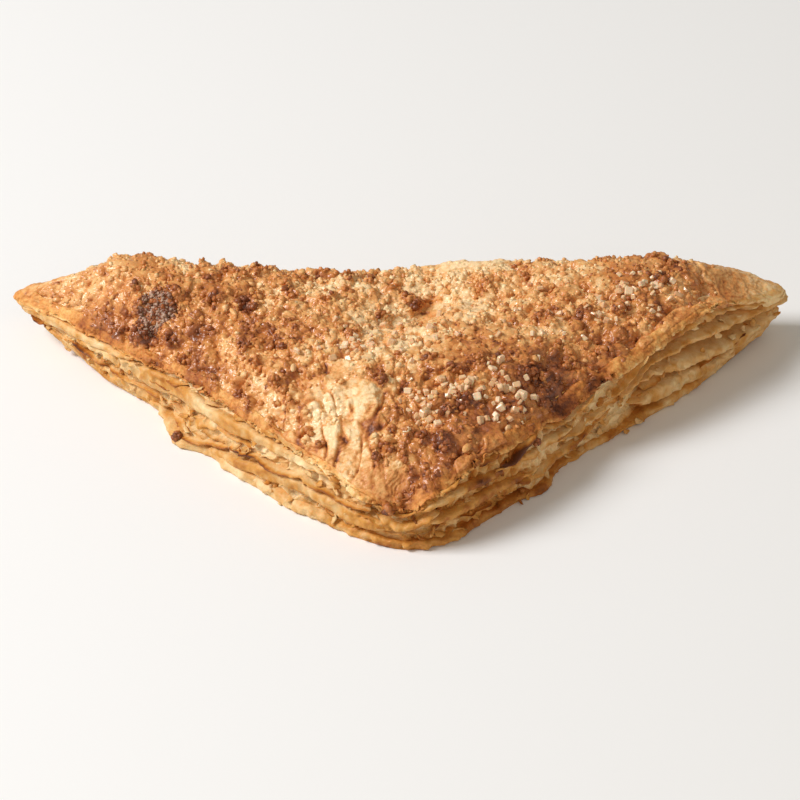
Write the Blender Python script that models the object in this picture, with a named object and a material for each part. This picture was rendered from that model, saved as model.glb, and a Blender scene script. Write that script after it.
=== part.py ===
"""Turnover pastry: a square of puff pastry folded on its diagonal and baked.

One solid. It lies flat on its underside: +X along the fold, -Y towards the
right-angled corner where the two cut legs meet, +Z up. The origin is on the
surface it lies on, at the middle of its box. Sizes are in millimetres until
the finished mesh is scaled to metres.
"""

import math

import bmesh
import bpy
import numpy as np

MM = 0.001

# Plan: the folded triangle before baking rounded it
LEFT_TIP = (-84.0, 37.0)
FRONT_CORNER = (1.0, -45.0)
RIGHT_TIP = (85.0, 38.0)
MIDDLE = (0.0, 8.0)          # every outline is a radius about this point
ROUNDNESS = 9.0              # higher is closer to a sharp triangle

# Where baking pushed the outline out or drew it in: direction, spread (degrees), size
SWELLS = (
    (161.0, 5.0, 3.0),       # left tip, drawn out thin
    (-171.0, 10.0, -1.2),    # left leg beside the tip
    (-132.0, 16.0, 0.8),     # left leg
    (-90.0, 10.0, -2.3),     # blunt front corner
    (-60.0, 12.0, 0.3),
    (-26.0, 14.0, -1.6),     # right leg, pinched where it was crimped
    (19.4, 5.0, 1.2),        # right tip
)
# The same for the lower leaves alone
FOOT_SWELLS = (
    (160.0, 7.5, -10.0),     # left tip, curled up off the surface
    (179.0, 7.0, -3.2),      # left leg's outer half, shrunk back
    (-163.0, 5.0, 3.2),      # where the leaves step out again
    (-147.0, 11.0, 1.9),
    (-124.0, 12.0, 1.6),
    (-45.0, 6.0, 1.5),
    (19.4, 7.0, -3.0),       # right tip
)

# Height of the rim round the edge: direction (degrees), height
RIM = (
    (90.0, 9.8),             # fold
    (140.0, 10.0),
    (158.0, 9.5),            # left tip
    (168.0, 11.5),
    (190.0, 12.5),           # left leg
    (225.0, 12.8),
    (248.0, 12.4),
    (258.0, 10.2),
    (270.0, 8.2),            # front corner
    (279.0, 12.0),
    (292.0, 14.6),           # right leg
    (320.0, 13.5),
    (332.0, 11.5),           # where it was crimped
    (345.0, 15.0),
    (368.0, 18.5),           # where the leaves fan open
    (378.0, 13.0),
    (385.0, 10.5),           # right tip
    (398.0, 10.0),
)

# The wall under the rim
LEAVES = 5                   # bands of leaves in a cut leg
GROOVE = 0.9                 # depth between two bands
GROOVE_SHARE = 0.16          # of a band's height, taken up by the groove
# Waves along a band: count round the edge, shift from band to band, size
WANDER = ((7.0, 2.1, 0.018), (16.0, 4.3, 0.018))     # up and down, as a share of the rim
RAGGED = ((23.0, 1.7, 0.25), (41.0, 2.9, 0.20))      # in and out
# How far the wall draws in, and the power that it eases with
LEG_FOOT, LEG_FOOT_POWER = 0.6, 4.0
LEG_LIP, LEG_LIP_POWER = 2.0, 3.0
FOLD_FOOT, FOLD_FOOT_POWER = 3.0, 2.0
FOLD_LIP, FOLD_LIP_POWER = 2.2, 2.5
FOOT_SWELL_POWER = 1.4
FOLD_HALF, FOLD_EASE = 78.0, 14.0    # degrees either side of the fold's middle

# The crown: a plain height, then puffs and hollows of x, y, length, width, turn, height
CROWN = 18.5
PUFFS = (
    (-53.0, 26.0, 21.0, 12.0, 0.0, 5.0),     # left shoulder
    (50.0, 26.0, 22.0, 12.0, 0.0, 4.5),      # right shoulder
    (20.0, -3.0, 18.0, 12.0, 0.0, 4.0),      # pillow over the right leg
    (-14.0, 0.0, 20.0, 13.0, 0.0, 2.3),      # pillow over the left leg
    (3.0, 17.0, 15.0, 7.0, 50.0, -3.6),      # valley between them
    (13.0, 34.0, 12.0, 8.0, 0.0, 4.2),       # blister on the fold
    (-5.0, -22.0, 3.0, 13.0, 10.0, 1.3),     # ridge down to the front corner
    (-14.0, -13.0, 2.6, 8.0, -35.0, 1.0),    # wrinkles beside it
    (4.0, -20.0, 2.4, 8.0, 20.0, -0.9),
    (-36.0, 8.0, 3.0, 8.0, 30.0, -1.0),
    (36.0, 3.0, 3.0, 9.0, -30.0, -1.0),
)
LEG_SHOULDER, FOLD_SHOULDER = 3.2, 8.2   # how soon the crown rises from the rim
SHOULDER_ROUND = 0.75

SEGMENTS = 144               # round the edge
CROWN_RINGS = 15             # from the rim in to the middle

CRUST = (0.72, 0.45, 0.20, 1.0)
CRUST_ROUGHNESS = 0.75
SHARP_FROM = 50.0            # degrees between faces


def turned(degrees, at):
    """Angle from one direction to another, between -180 and 180 degrees."""
    return (degrees - at + 180.0) % 360.0 - 180.0


def near(degrees, at, spread):
    """1 in a direction, falling to 0 away from it."""
    return np.exp(-(turned(degrees, at) / spread) ** 2)


def smooth(value):
    """0 below 0, 1 above 1, eased between."""
    value = np.clip(value, 0.0, 1.0)
    return value * value * (3.0 - 2.0 * value)


def sides():
    """Outward normal and distance from the middle of the triangle's three sides."""
    corners = [np.array(corner) - MIDDLE for corner in (LEFT_TIP, FRONT_CORNER, RIGHT_TIP)]
    result = []
    for start, end in zip(corners, corners[1:] + corners[:1]):
        along = end - start
        normal = np.array((along[1], -along[0])) / np.linalg.norm(along)
        result.append((normal, float(normal @ start)))
    return result


SIDES = sides()


def outline(degrees):
    """Radius of the widest outline: a rounded triangle with its swells."""
    angle = np.radians(degrees)
    heading = np.stack((np.cos(angle), np.sin(angle)), axis=-1)
    total = sum(np.maximum(heading @ normal / reach, 0.0) ** ROUNDNESS for normal, reach in SIDES)
    radius = total ** (-1.0 / ROUNDNESS)
    for at, spread, size in SWELLS:
        radius = radius + size * near(degrees, at, spread)
    return radius


def rim_height(degrees):
    """Height of the rim, eased from one station to the next."""
    stations = np.array(RIM)
    first = stations[0, 0]
    around = (np.asarray(degrees) - first) % 360.0 + first
    at = np.append(stations[:, 0], first + 360.0)
    height = np.append(stations[:, 1], stations[0, 1])
    index = np.searchsorted(at, around, side="right") - 1
    share = smooth((around - at[index]) / (at[index + 1] - at[index]))
    return height[index] + (height[index + 1] - height[index]) * share


def fold_share(degrees):
    """1 along the fold, 0 along the two cut legs."""
    return smooth((FOLD_HALF - np.abs(turned(degrees, 90.0))) / FOLD_EASE)


def wall_inset(degrees, rise):
    """How far the wall draws in at a share of the rim's height."""
    drop = 1.0 - rise
    leg = LEG_FOOT * drop ** LEG_FOOT_POWER + LEG_LIP * rise ** LEG_LIP_POWER
    fold = FOLD_FOOT * drop ** FOLD_FOOT_POWER + FOLD_LIP * rise ** FOLD_LIP_POWER
    share = fold_share(degrees)
    swell = sum(size * near(degrees, at, spread) for at, spread, size in FOOT_SWELLS)
    return leg * (1.0 - share) + fold * share - swell * drop ** FOOT_SWELL_POWER


def crown_height(x, y):
    """Height of the puffed top, before it falls to the rim."""
    height = CROWN + np.zeros_like(x)
    for at_x, at_y, length, width, turn, size in PUFFS:
        cos, sin = math.cos(math.radians(turn)), math.sin(math.radians(turn))
        along = ((x - at_x) * cos + (y - at_y) * sin) / length
        across = ((y - at_y) * cos - (x - at_x) * sin) / width
        height = height + size * np.exp(-along ** 2 - across ** 2)
    return height


def placed(degrees, radius, height):
    """Points from directions, radii and heights."""
    angle = np.radians(degrees)
    height = height + np.zeros_like(radius)
    return np.stack((MIDDLE[0] + radius * np.cos(angle), MIDDLE[1] + radius * np.sin(angle), height), axis=-1)


def waves(degrees, band, table):
    """A sum of waves round the edge, shifted from band to band."""
    return sum(size * np.sin(count * np.radians(degrees) + shift * band) for count, shift, size in table)


def wall_ring(degrees, rise, depth, band):
    """One ring of the wall, in a groove (depth above 0) or on a leaf's edge.

    The waves fade out at foot and rim, and there are none on the fold.
    """
    cut = 1.0 - fold_share(degrees)
    fade = 4.0 * rise * (1.0 - rise) * cut
    height = rim_height(degrees) * (rise + waves(degrees, band, WANDER) * fade)
    radius = outline(degrees) - wall_inset(degrees, rise) - depth * cut
    return placed(degrees, radius + waves(degrees, band, RAGGED) * fade, height)


def wall_rings(degrees):
    """Rings from the foot to the rim: each band of leaves has an edge and a groove over it."""
    rings = []
    for band in range(LEAVES):
        low = band / LEAVES
        high = low + (1.0 - GROOVE_SHARE) / LEAVES
        rings.append(wall_ring(degrees, low, 0.0, band))
        rings.append(wall_ring(degrees, high, 0.0, band))
        if band < LEAVES - 1:
            rings.append(wall_ring(degrees, high + 0.5 * GROOVE_SHARE / LEAVES, GROOVE, band))
    rings.append(wall_ring(degrees, 1.0, 0.0, LEAVES))
    return rings


def crown_ring(degrees, inward):
    """One ring of the top: 1 at the rim, 0 at the middle."""
    radius = (outline(degrees) - wall_inset(degrees, 1.0)) * inward
    flat = placed(degrees, radius, 0.0)
    shoulder = LEG_SHOULDER + (FOLD_SHOULDER - LEG_SHOULDER) * fold_share(degrees)
    share = (1.0 - inward ** shoulder) ** SHOULDER_ROUND
    rim = rim_height(degrees)
    return placed(degrees, radius, rim + (crown_height(flat[:, 0], flat[:, 1]) - rim) * share)


def even_directions():
    """Directions that space the segments evenly along the edge."""
    fine = np.linspace(-180.0, 180.0, 20 * SEGMENTS + 1)
    edge = placed(fine, outline(fine), 0.0)
    length = np.append(0.0, np.cumsum(np.linalg.norm(np.diff(edge, axis=0), axis=1)))
    return np.interp(np.arange(SEGMENTS) / SEGMENTS * length[-1], length, fine)


def extruded(bm, edges, points, number):
    """Extrude a loop of edges to a new ring of points, and give the new loop."""
    made = bmesh.ops.extrude_edge_only(bm, edges=edges)["geom"]
    loop = [item for item in made if isinstance(item, bmesh.types.BMEdge)]
    for vert in {vert for edge in loop for vert in edge.verts}:
        vert.co = points[vert[number]]
    return loop


def build_mesh(name):
    """The closed solid: flat underside, leafy wall, puffed top."""
    degrees = even_directions()
    wall = wall_rings(degrees)
    bm = bmesh.new()
    number = bm.verts.layers.int.new("number round the ring")
    bmesh.ops.create_circle(bm, segments=SEGMENTS, radius=1.0)
    for index, vert in enumerate(bm.verts):
        vert[number] = index
        vert.co = wall[0][index]
    foot = list(bm.edges)
    loop = foot
    for points in wall[1:]:
        loop = extruded(bm, loop, points, number)
    for step in range(1, CROWN_RINGS):
        loop = extruded(bm, loop, crown_ring(degrees, 1.0 - step / CROWN_RINGS), number)
    bmesh.ops.edgeloop_fill(bm, edges=foot)
    top = bmesh.ops.edgeloop_fill(bm, edges=loop)["faces"]
    middle = bmesh.ops.poke(bm, faces=top)["verts"][0]
    middle.co = crown_ring(degrees, 0.0)[0]
    bmesh.ops.recalc_face_normals(bm, faces=bm.faces)
    centre_and_scale(bm)
    mesh = bpy.data.meshes.new(name)
    bm.to_mesh(mesh)
    bm.free()
    return mesh


def centre_and_scale(bm):
    """Put the middle of the box's underside at the origin, in metres."""
    points = np.array([vert.co for vert in bm.verts])
    low, high = points.min(axis=0), points.max(axis=0)
    shift = (-(low[0] + high[0]) / 2, -(low[1] + high[1]) / 2, -low[2])
    bmesh.ops.translate(bm, vec=shift, verts=bm.verts)
    bmesh.ops.scale(bm, vec=(MM, MM, MM), verts=bm.verts)


def crust_material():
    material = bpy.data.materials.new("crust")
    material.use_nodes = True
    shader = material.node_tree.nodes["Principled BSDF"]
    shader.inputs["Base Color"].default_value = CRUST
    shader.inputs["Roughness"].default_value = CRUST_ROUGHNESS
    shader.inputs["Metallic"].default_value = 0.0
    return material


def main():
    for item in list(bpy.data.objects):
        bpy.data.objects.remove(item, do_unlink=True)
    collection = bpy.data.collections.new("turnover_pastry")
    bpy.context.scene.collection.children.link(collection)
    pastry = bpy.data.objects.new("pastry", build_mesh("pastry"))
    pastry.data.materials.append(crust_material())
    pastry.data.shade_smooth()
    pastry.data.set_sharp_from_angle(angle=math.radians(SHARP_FROM))
    collection.objects.link(pastry)


main()
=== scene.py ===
"""Turnover pastry, as it looks: crust, leaves, base, flakes, crumbs and sugar.

The pieces stand for the one solid of the frame and follow the same form: a
rounded triangle about a middle point, a rim that rises and falls round the edge,
and a crown of puffs and hollows. Lengths are in millimetres until a piece is
finished, which moves it into the frame and scales it to metres.
"""

import itertools
import math

import bmesh
import bpy
import numpy as np
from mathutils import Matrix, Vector


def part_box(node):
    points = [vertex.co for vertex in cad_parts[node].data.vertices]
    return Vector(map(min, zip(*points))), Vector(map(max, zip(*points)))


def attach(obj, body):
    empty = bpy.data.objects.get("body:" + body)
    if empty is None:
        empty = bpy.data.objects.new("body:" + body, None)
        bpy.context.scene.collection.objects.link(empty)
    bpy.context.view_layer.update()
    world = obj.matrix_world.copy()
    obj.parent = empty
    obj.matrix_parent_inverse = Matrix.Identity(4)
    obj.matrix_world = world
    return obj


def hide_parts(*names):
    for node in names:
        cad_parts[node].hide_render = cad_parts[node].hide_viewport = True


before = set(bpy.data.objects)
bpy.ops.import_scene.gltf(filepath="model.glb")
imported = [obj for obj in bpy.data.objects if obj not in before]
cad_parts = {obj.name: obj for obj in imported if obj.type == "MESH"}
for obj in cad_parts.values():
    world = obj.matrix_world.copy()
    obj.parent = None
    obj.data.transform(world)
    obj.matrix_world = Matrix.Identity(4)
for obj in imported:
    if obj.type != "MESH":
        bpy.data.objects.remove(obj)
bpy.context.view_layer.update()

MM = 0.001
BODY = "root"
NODE = "pastry"

# == Form, the same as the solid's ==

LEFT_TIP = (-84.0, 37.0)
FRONT_CORNER = (1.0, -45.0)
RIGHT_TIP = (85.0, 38.0)
MIDDLE = (0.0, 8.0)
ROUNDNESS = 9.0

# Direction, spread (degrees), size
SWELLS = (
    (161, 5, 3), (-171, 10, -1.2), (-132, 16, 0.8), (-90, 10, -2.3), (-60, 12, 0.3), (-26, 14, -1.6),
    (19.4, 5, 1.2),
)
FOOT_SWELLS = (
    (160, 7.5, -10), (179, 7, -3.2), (-163, 5, 3.2), (-147, 11, 1.9), (-124, 12, 1.6), (-45, 6, 1.5),
    (19.4, 7, -3),
)
# Direction, height of the rim
RIM = (
    (90, 9.8), (140, 10), (158, 9.5), (168, 11.5), (190, 12.5), (225, 12.8), (248, 12.4), (258, 10.2),
    (270, 8.2), (279, 12), (292, 14.6), (320, 13.5), (332, 11.5), (345, 15), (368, 18.5), (378, 13),
    (385, 10.5), (398, 10),
)
LEG_FOOT, LEG_FOOT_POWER = 0.6, 4.0
LEG_LIP, LEG_LIP_POWER = 2.0, 3.0
FOLD_FOOT, FOLD_FOOT_POWER = 3.0, 2.0
FOLD_LIP, FOLD_LIP_POWER = 2.2, 2.5
FOOT_SWELL_POWER = 1.4
FOLD_HALF, FOLD_EASE = 78.0, 14.0
CROWN = 18.5
# x, y, length, width, turn, height
PUFFS = (
    (-53, 26, 21, 12, 0, 5), (50, 26, 22, 12, 0, 4.5), (20, -3, 18, 12, 0, 4), (-14, 0, 20, 13, 0, 2.3),
    (3, 17, 15, 7, 50, -3.6), (13, 34, 12, 8, 0, 4.2), (-5, -22, 3, 13, 10, 1.3),
    (-14, -13, 2.6, 8, -35, 1), (4, -20, 2.4, 8, 20, -0.9), (-36, 8, 3, 8, 30, -1),
    (36, 3, 3, 9, -30, -1),
)
LEG_SHOULDER, FOLD_SHOULDER = 3.2, 8.2
SHOULDER_ROUND = 0.75


def turned(degrees, at):
    """Angle from one direction to another, between -180 and 180 degrees."""
    return (degrees - at + 180.0) % 360.0 - 180.0


def near(degrees, at, spread):
    """1 in a direction, falling to 0 away from it."""
    return np.exp(-(turned(degrees, at) / spread) ** 2)


def swelling(degrees, table):
    """The sum of swells given as direction, spread, size."""
    return sum(size * near(degrees, at, spread) for at, spread, size in table)


def smooth(value):
    """0 below 0, 1 above 1, eased between."""
    value = np.clip(value, 0.0, 1.0)
    return value * value * (3.0 - 2.0 * value)


def between(value, low, high):
    """Eased from 0 at one value to 1 at another."""
    return smooth((value - low) / (high - low))


def sides():
    """Outward normal and distance from the middle of the triangle's three sides."""
    corners = [np.array(corner) - MIDDLE for corner in (LEFT_TIP, FRONT_CORNER, RIGHT_TIP)]
    result = []
    for start, end in zip(corners, corners[1:] + corners[:1]):
        along = end - start
        normal = np.array((along[1], -along[0])) / np.linalg.norm(along)
        result.append((normal, float(normal @ start)))
    return result


SIDES = sides()


def heading(degrees):
    angle = np.radians(degrees)
    return np.stack((np.cos(angle), np.sin(angle)), axis=-1)


def outline(degrees):
    """Radius of the widest outline: a rounded triangle with its swells."""
    way = heading(degrees)
    total = sum(np.maximum(way @ normal / reach, 0.0) ** ROUNDNESS for normal, reach in SIDES)
    return total ** (-1.0 / ROUNDNESS) + swelling(degrees, SWELLS)


def sharp_outline(degrees):
    """Radius of the triangle with its corners still sharp."""
    way = heading(degrees)
    return 1.0 / np.max([way @ normal / reach for normal, reach in SIDES], axis=0)


def stationed(degrees, table):
    """A value that eases from one (direction, value) station to the next, all round."""
    stations = np.array(table)
    first = stations[0, 0]
    around = (np.asarray(degrees) - first) % 360.0 + first
    at = np.append(stations[:, 0], first + 360.0)
    value = np.append(stations[:, 1], stations[0, 1])
    index = np.searchsorted(at, around, side="right") - 1
    share = smooth((around - at[index]) / (at[index + 1] - at[index]))
    return value[index] + (value[index + 1] - value[index]) * share


def profiled(share, profile):
    """Values between the rows of a profile, whose first column holds the shares."""
    stops, *columns = np.array(profile).T
    return [np.interp(share, stops, column) for column in columns]


def rim_height(degrees):
    return stationed(degrees, RIM)


def fold_share(degrees):
    """1 along the fold, 0 along the two cut legs."""
    return smooth((FOLD_HALF - np.abs(turned(degrees, 90.0))) / FOLD_EASE)


def wall_inset(degrees, rise):
    """How far the wall draws in at a share of the rim's height."""
    drop = 1.0 - rise
    leg = LEG_FOOT * drop ** LEG_FOOT_POWER + LEG_LIP * rise ** LEG_LIP_POWER
    fold = FOLD_FOOT * drop ** FOLD_FOOT_POWER + FOLD_LIP * rise ** FOLD_LIP_POWER
    share = fold_share(degrees)
    swell = swelling(degrees, FOOT_SWELLS) * drop ** FOOT_SWELL_POWER
    return leg * (1.0 - share) + fold * share - swell


def lobes(x, y, table):
    """The sum of smooth lobes given as x, y, length, width, turn, size."""
    total = np.zeros_like(x)
    for at_x, at_y, length, width, turn, size in table:
        cos, sin = math.cos(math.radians(turn)), math.sin(math.radians(turn))
        along = ((x - at_x) * cos + (y - at_y) * sin) / length
        across = ((y - at_y) * cos - (x - at_x) * sin) / width
        total = total + size * np.exp(-along ** 2 - across ** 2)
    return total


def lobed(points, table):
    """How much points are in the lobes of a table, 0 to 1."""
    return np.clip(lobes(points[:, 0], points[:, 1], table), 0.0, 1.0)


def crown_height(x, y, degrees, inward):
    """Height of the top; inward is 1 at the rim and 0 at the middle."""
    shoulder = LEG_SHOULDER + (FOLD_SHOULDER - LEG_SHOULDER) * fold_share(degrees)
    share = (1.0 - np.minimum(inward, 1.0) ** shoulder) ** SHOULDER_ROUND
    rim = rim_height(degrees)
    return rim + (CROWN + lobes(x, y, PUFFS) - rim) * share


def polar(points):
    """Direction of plan points from the middle, and their distance."""
    x, y = points[..., 0] - MIDDLE[0], points[..., 1] - MIDDLE[1]
    return np.degrees(np.arctan2(y, x)), np.hypot(x, y)


def placed(degrees, radius, height):
    """Points from directions, radii and heights."""
    plan = MIDDLE + heading(degrees) * radius[..., None]
    return np.concatenate((plan, (height + np.zeros_like(radius))[..., None]), axis=-1)


def unit(ways):
    """Ways made one long."""
    return ways / np.linalg.norm(ways, axis=-1, keepdims=True)


def crown_at(x, y):
    """Height of the smooth crown over plan points."""
    degrees, distance = polar(np.stack((x, y), axis=-1))
    inward = distance / (outline(degrees) - wall_inset(degrees, 1.0))
    return crown_height(x, y, degrees, inward)


def crown_way(x, y, step=0.25):
    """Outward way of the smooth crown over plan points."""
    slope_x = (crown_at(x + step, y) - crown_at(x - step, y)) / (2.0 * step)
    slope_y = (crown_at(x, y + step) - crown_at(x, y - step)) / (2.0 * step)
    return unit(np.stack((-slope_x, -slope_y, np.ones_like(x)), axis=-1))


def wall_point(degrees, rise):
    return placed(degrees, outline(degrees) - wall_inset(degrees, rise), rim_height(degrees) * rise)


def frame_shift():
    """From the form's own place to the frame's."""
    low, high = (np.array(corner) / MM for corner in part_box(NODE))
    degrees = np.linspace(0.0, 360.0, 1441)
    rises = np.linspace(0.0, 1.0, 21)
    points = np.concatenate([wall_point(degrees, rise) for rise in rises])
    middle = (points.min(axis=0) + points.max(axis=0)) / 2
    return np.array(((low[0] + high[0]) / 2 - middle[0], (low[1] + high[1]) / 2 - middle[1], low[2]))


SHIFT = frame_shift()

# == Noise over points ==


def lattice(cell, seed):
    """A random number from 0 to 1 for each whole-number cell."""
    x, y, z = (cell[..., axis] for axis in range(3))
    mixed = (x * 73856093) ^ (y * 19349663) ^ (z * 83492791) ^ (seed * 961748927)
    mixed = mixed & 0xFFFFFFFF
    mixed = ((mixed ^ (mixed >> 15)) * 739982445) & 0xFFFFFFFF
    mixed = ((mixed ^ (mixed >> 12)) * 695872825) & 0xFFFFFFFF
    return (mixed ^ (mixed >> 15)) / 2.0 ** 32


def hills(points, size, seed=0):
    """Smooth noise from -1 to 1, its hills about a size apart."""
    scaled = points / size
    base = np.floor(scaled).astype(np.int64)
    part = scaled - base
    part = part * part * (3.0 - 2.0 * part)
    total = np.zeros(points.shape[:-1])
    for corner in itertools.product((0, 1), repeat=3):
        weight = np.prod(np.where(corner, part, 1.0 - part), axis=-1)
        total += weight * lattice(base + corner, seed)
    return 2.0 * total - 1.0


def layered(points, layers):
    """Noises given as height, size and seed, added up."""
    return sum(height * hills(points, size, seed) for height, size, seed in layers)


def rough(points, size, octaves=3, seed=0, keep=0.5):
    """Noise with finer and weaker noise on it."""
    total, weight = np.zeros(points.shape[:-1]), 1.0
    for octave in range(octaves):
        total += weight * hills(points, size * 0.5 ** octave, seed + 17 * octave)
        weight *= keep
    return total


def cells(points, size, seed=0):
    """Scattered cells: distances to the nearest two seeds in sizes, and a number of the cell."""
    scaled = points / size
    base = np.floor(scaled).astype(np.int64)
    first = np.full(points.shape[:-1], 9.0)
    second, tone = first.copy(), np.zeros_like(first)
    for offset in itertools.product((-1, 0, 1), repeat=3):
        cell = base + offset
        jitter = np.stack([lattice(cell, seed + part) for part in (1, 2, 3)], axis=-1)
        distance = np.linalg.norm(cell + jitter - scaled, axis=-1)
        closer = distance < first
        second = np.where(closer, first, np.minimum(second, distance))
        tone = np.where(closer, lattice(cell, seed + 4), tone)
        first = np.where(closer, distance, first)
    return first, second, tone


# == Making pieces ==


def coordinates(mesh):
    points = np.empty(3 * len(mesh.vertices))
    mesh.vertices.foreach_get("co", points)
    return points.reshape(-1, 3)


def normals(mesh):
    ways = np.empty(3 * len(mesh.vertices))
    mesh.vertex_normals.foreach_get("vector", ways)
    return ways.reshape(-1, 3)


def move(mesh, points):
    mesh.vertices.foreach_set("co", points.ravel())
    mesh.update()


# The two thin tips: x, y, z of their middle, reach, how much thinner
TIPS = ((-78, 33.5, 7.4, 13, 0.34), (80, 35, 7, 13, 0.34))


def thin_tips(points):
    """Draw the two tips together about their middles, and keep all off the floor."""
    points = points.copy()
    for x, y, z, reach, much in TIPS:
        share = much * np.exp(-((points[:, 0] - x) / reach) ** 2)
        points[:, 1] += 0.5 * share * (y - points[:, 1])
        points[:, 2] += share * (z - points[:, 2])
    points[:, 2] = np.maximum(points[:, 2], 0.0)
    return points


def store(mesh, key, values):
    """Keep a value at each vertex for the material."""
    layer = mesh.attributes.new(key, "FLOAT", "POINT")
    layer.data.foreach_set("value", np.asarray(values, dtype=np.float32))


def finish_piece(name, mesh, material, values, faceted=False):
    """Turn a mesh in millimetres into a piece of the pastry, with its values for the material."""
    move(mesh, (thin_tips(coordinates(mesh)) + SHIFT) * MM)
    for key, value in values.items():
        store(mesh, key, value)
    if faceted:
        mesh.shade_flat()
    else:
        mesh.shade_smooth()
    mesh.materials.append(material)
    piece = bpy.data.objects.new(name, mesh)
    bpy.context.scene.collection.objects.link(piece)
    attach(piece, BODY)
    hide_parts(NODE)


DOUBLES = 0.002          # vertices nearer than this are one


def face_outwards(mesh, weld=True):
    """Turn the faces outwards, after doubles are merged and holes closed where the mesh needs it."""
    bm = bmesh.new()
    bm.from_mesh(mesh)
    if weld:
        bmesh.ops.remove_doubles(bm, verts=bm.verts, dist=DOUBLES)
        bmesh.ops.dissolve_degenerate(bm, edges=bm.edges, dist=DOUBLES / 10)
        bmesh.ops.holes_fill(bm, edges=bm.edges)
    bmesh.ops.recalc_face_normals(bm, faces=bm.faces)
    bm.to_mesh(mesh)
    bm.free()


def new_mesh(name, bm):
    mesh = bpy.data.meshes.new(name)
    bm.to_mesh(mesh)
    bm.free()
    return mesh


def triangle_sheet(cuts, first=(0.0, 0.0), size=1.0):
    """A flat triangle of rhombs, or a part of it: a grid whose fourth corner is the fold's middle."""
    bm = bmesh.new()
    bmesh.ops.create_grid(bm, x_segments=cuts, y_segments=cuts, size=0.5)
    left, front, right = (Vector((*corner, 0.0)) for corner in (LEFT_TIP, FRONT_CORNER, RIGHT_TIP))
    back = (left + right) / 2.0
    for vert in bm.verts:
        across, along = first[0] + size * (vert.co.x + 0.5), first[1] + size * (vert.co.y + 0.5)
        vert.co = left.lerp(front, across).lerp(back.lerp(right, across), along)
    return bm


def border(bm):
    return [edge for edge in bm.edges if edge.is_boundary]


def extrude_rows(bm, rows, height):
    """Extrude the border in rows, and close it with a fan to a hub at a height over the middle.

    Each vertex is numbered by its row: 0 on the sheet, and -1 at the hub.
    """
    row = bm.verts.layers.int.new("row")
    for number in range(1, rows + 1):
        for item in bmesh.ops.extrude_edge_only(bm, edges=border(bm))["geom"]:
            if isinstance(item, bmesh.types.BMVert):
                item[row] = number
    face = bmesh.ops.edgeloop_fill(bm, edges=border(bm))["faces"]
    hub = bmesh.ops.poke(bm, faces=face)["verts"][0]
    hub.co = (*MIDDLE, height)
    hub[row] = -1


def whole_numbers(mesh, key):
    values = np.empty(len(mesh.vertices), dtype=np.int32)
    mesh.attributes[key].data.foreach_get("value", values)
    return values


# == Where the top is coated, browned, darkened with painted shade, and sugared ==

# Lobes as x, y, length, width, turn, size
COATING = (
    (-50, 23, 24, 14, -12, 1.5), (-28, 12, 22, 12, -35, 1.2), (-16, 27, 20, 8, 0, 1.2),
    (-40, 3, 26, 9, -43, 1.1), (-28, -10, 10, 6, -43, 0.9), (4, 25, 10, 6, 0, 0.8),
    (46, 24, 22, 11, 10, 1.2), (28, 22, 16, 8, 0, 0.9), (20, 2, 20, 10, -20, 1.1),
    (26, -8, 14, 9, 20, 1), (5, -22, 9, 13, 20, 1.1), (40, 8, 14, 9, 30, 0.8), (2, -6, 10, 7, -20, 0.5),
    (14, 33, 11, 4.5, 5, -1.6), (-17, -15, 6, 9, -30, -0.35), (-8, -17, 5, 9, -20, -0.5),
    (-12, -14, 12, 11, -40, 0.35), (-9, -25, 5, 8, -40, -0.6), (2, 14, 7, 3, 40, -1),
    (-67, 36, 14, 4, 0, -1.2), (74, 30, 12, 12, 0, -1.5), (58, 12, 8, 5, 40, -0.6),
    (-82, 34, 8, 8, 0, -0.6), (-4, -34, 4, 6, 0, -0.6),
)
# How much browner the top is: its own browning, with painted shade on the crown's right and front slopes,
# which face away from the key light.
BROWNING_AND_SHADE = (
    (-44, 15, 22, 12, -20, 0.2), (-26, 6, 24, 9, -38, 0.22), (-52, 12, 20, 6, -40, 0.24),
    (-30, 24, 14, 7, 0, 0.1), (46, 22, 22, 12, 10, 0.2), (26, -6, 20, 9, 10, 0.5),
    (36, 5, 12, 8, 20, 0.05), (46, 4, 24, 8, 44, 0.26), (52, 24, 12, 9, 0, 0.12),
    (-44, 6, 16, 6, -40, 0.1), (18, -20, 12, 8, 40, 0.14), (8, -22, 10, 12, 0, 0.4),
    (0, -37, 5, 4, 0, 0.2), (-80, 31, 6, 5, 0, 0.15), (0, 4, 14, 12, 0, -0.1),
    (-12, -16, 9, 9, -20, -0.14), (-10, -26, 6, 7, 0, -0.14), (10, 34, 20, 6, 0, -0.22),
    (-60, 34, 18, 5, 0, -0.15), (72, 32, 12, 8, 0, -0.04),
)
SUGARED = (
    (10, -13, 6, 2.4, 15, 1), (19, -11.5, 6, 3, 10, 1), (20, -17, 3.5, 3, 20, 0.8),
    (49, 19, 7, 4, 20, 0.8), (6, -19, 4, 3, -40, 0.8), (-4, 0, 9, 6, 0, 0.16), (30, 8, 16, 8, 0, 0.1),
)
FROSTED = (
    (-49.3, 16.6, 3.6, 3.2, -40, 1), (-50.6, 13.2, 2.6, 2.2, 0, 0.9), (-45.8, 14.4, 2.2, 1.8, 0, 0.5),
)
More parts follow.
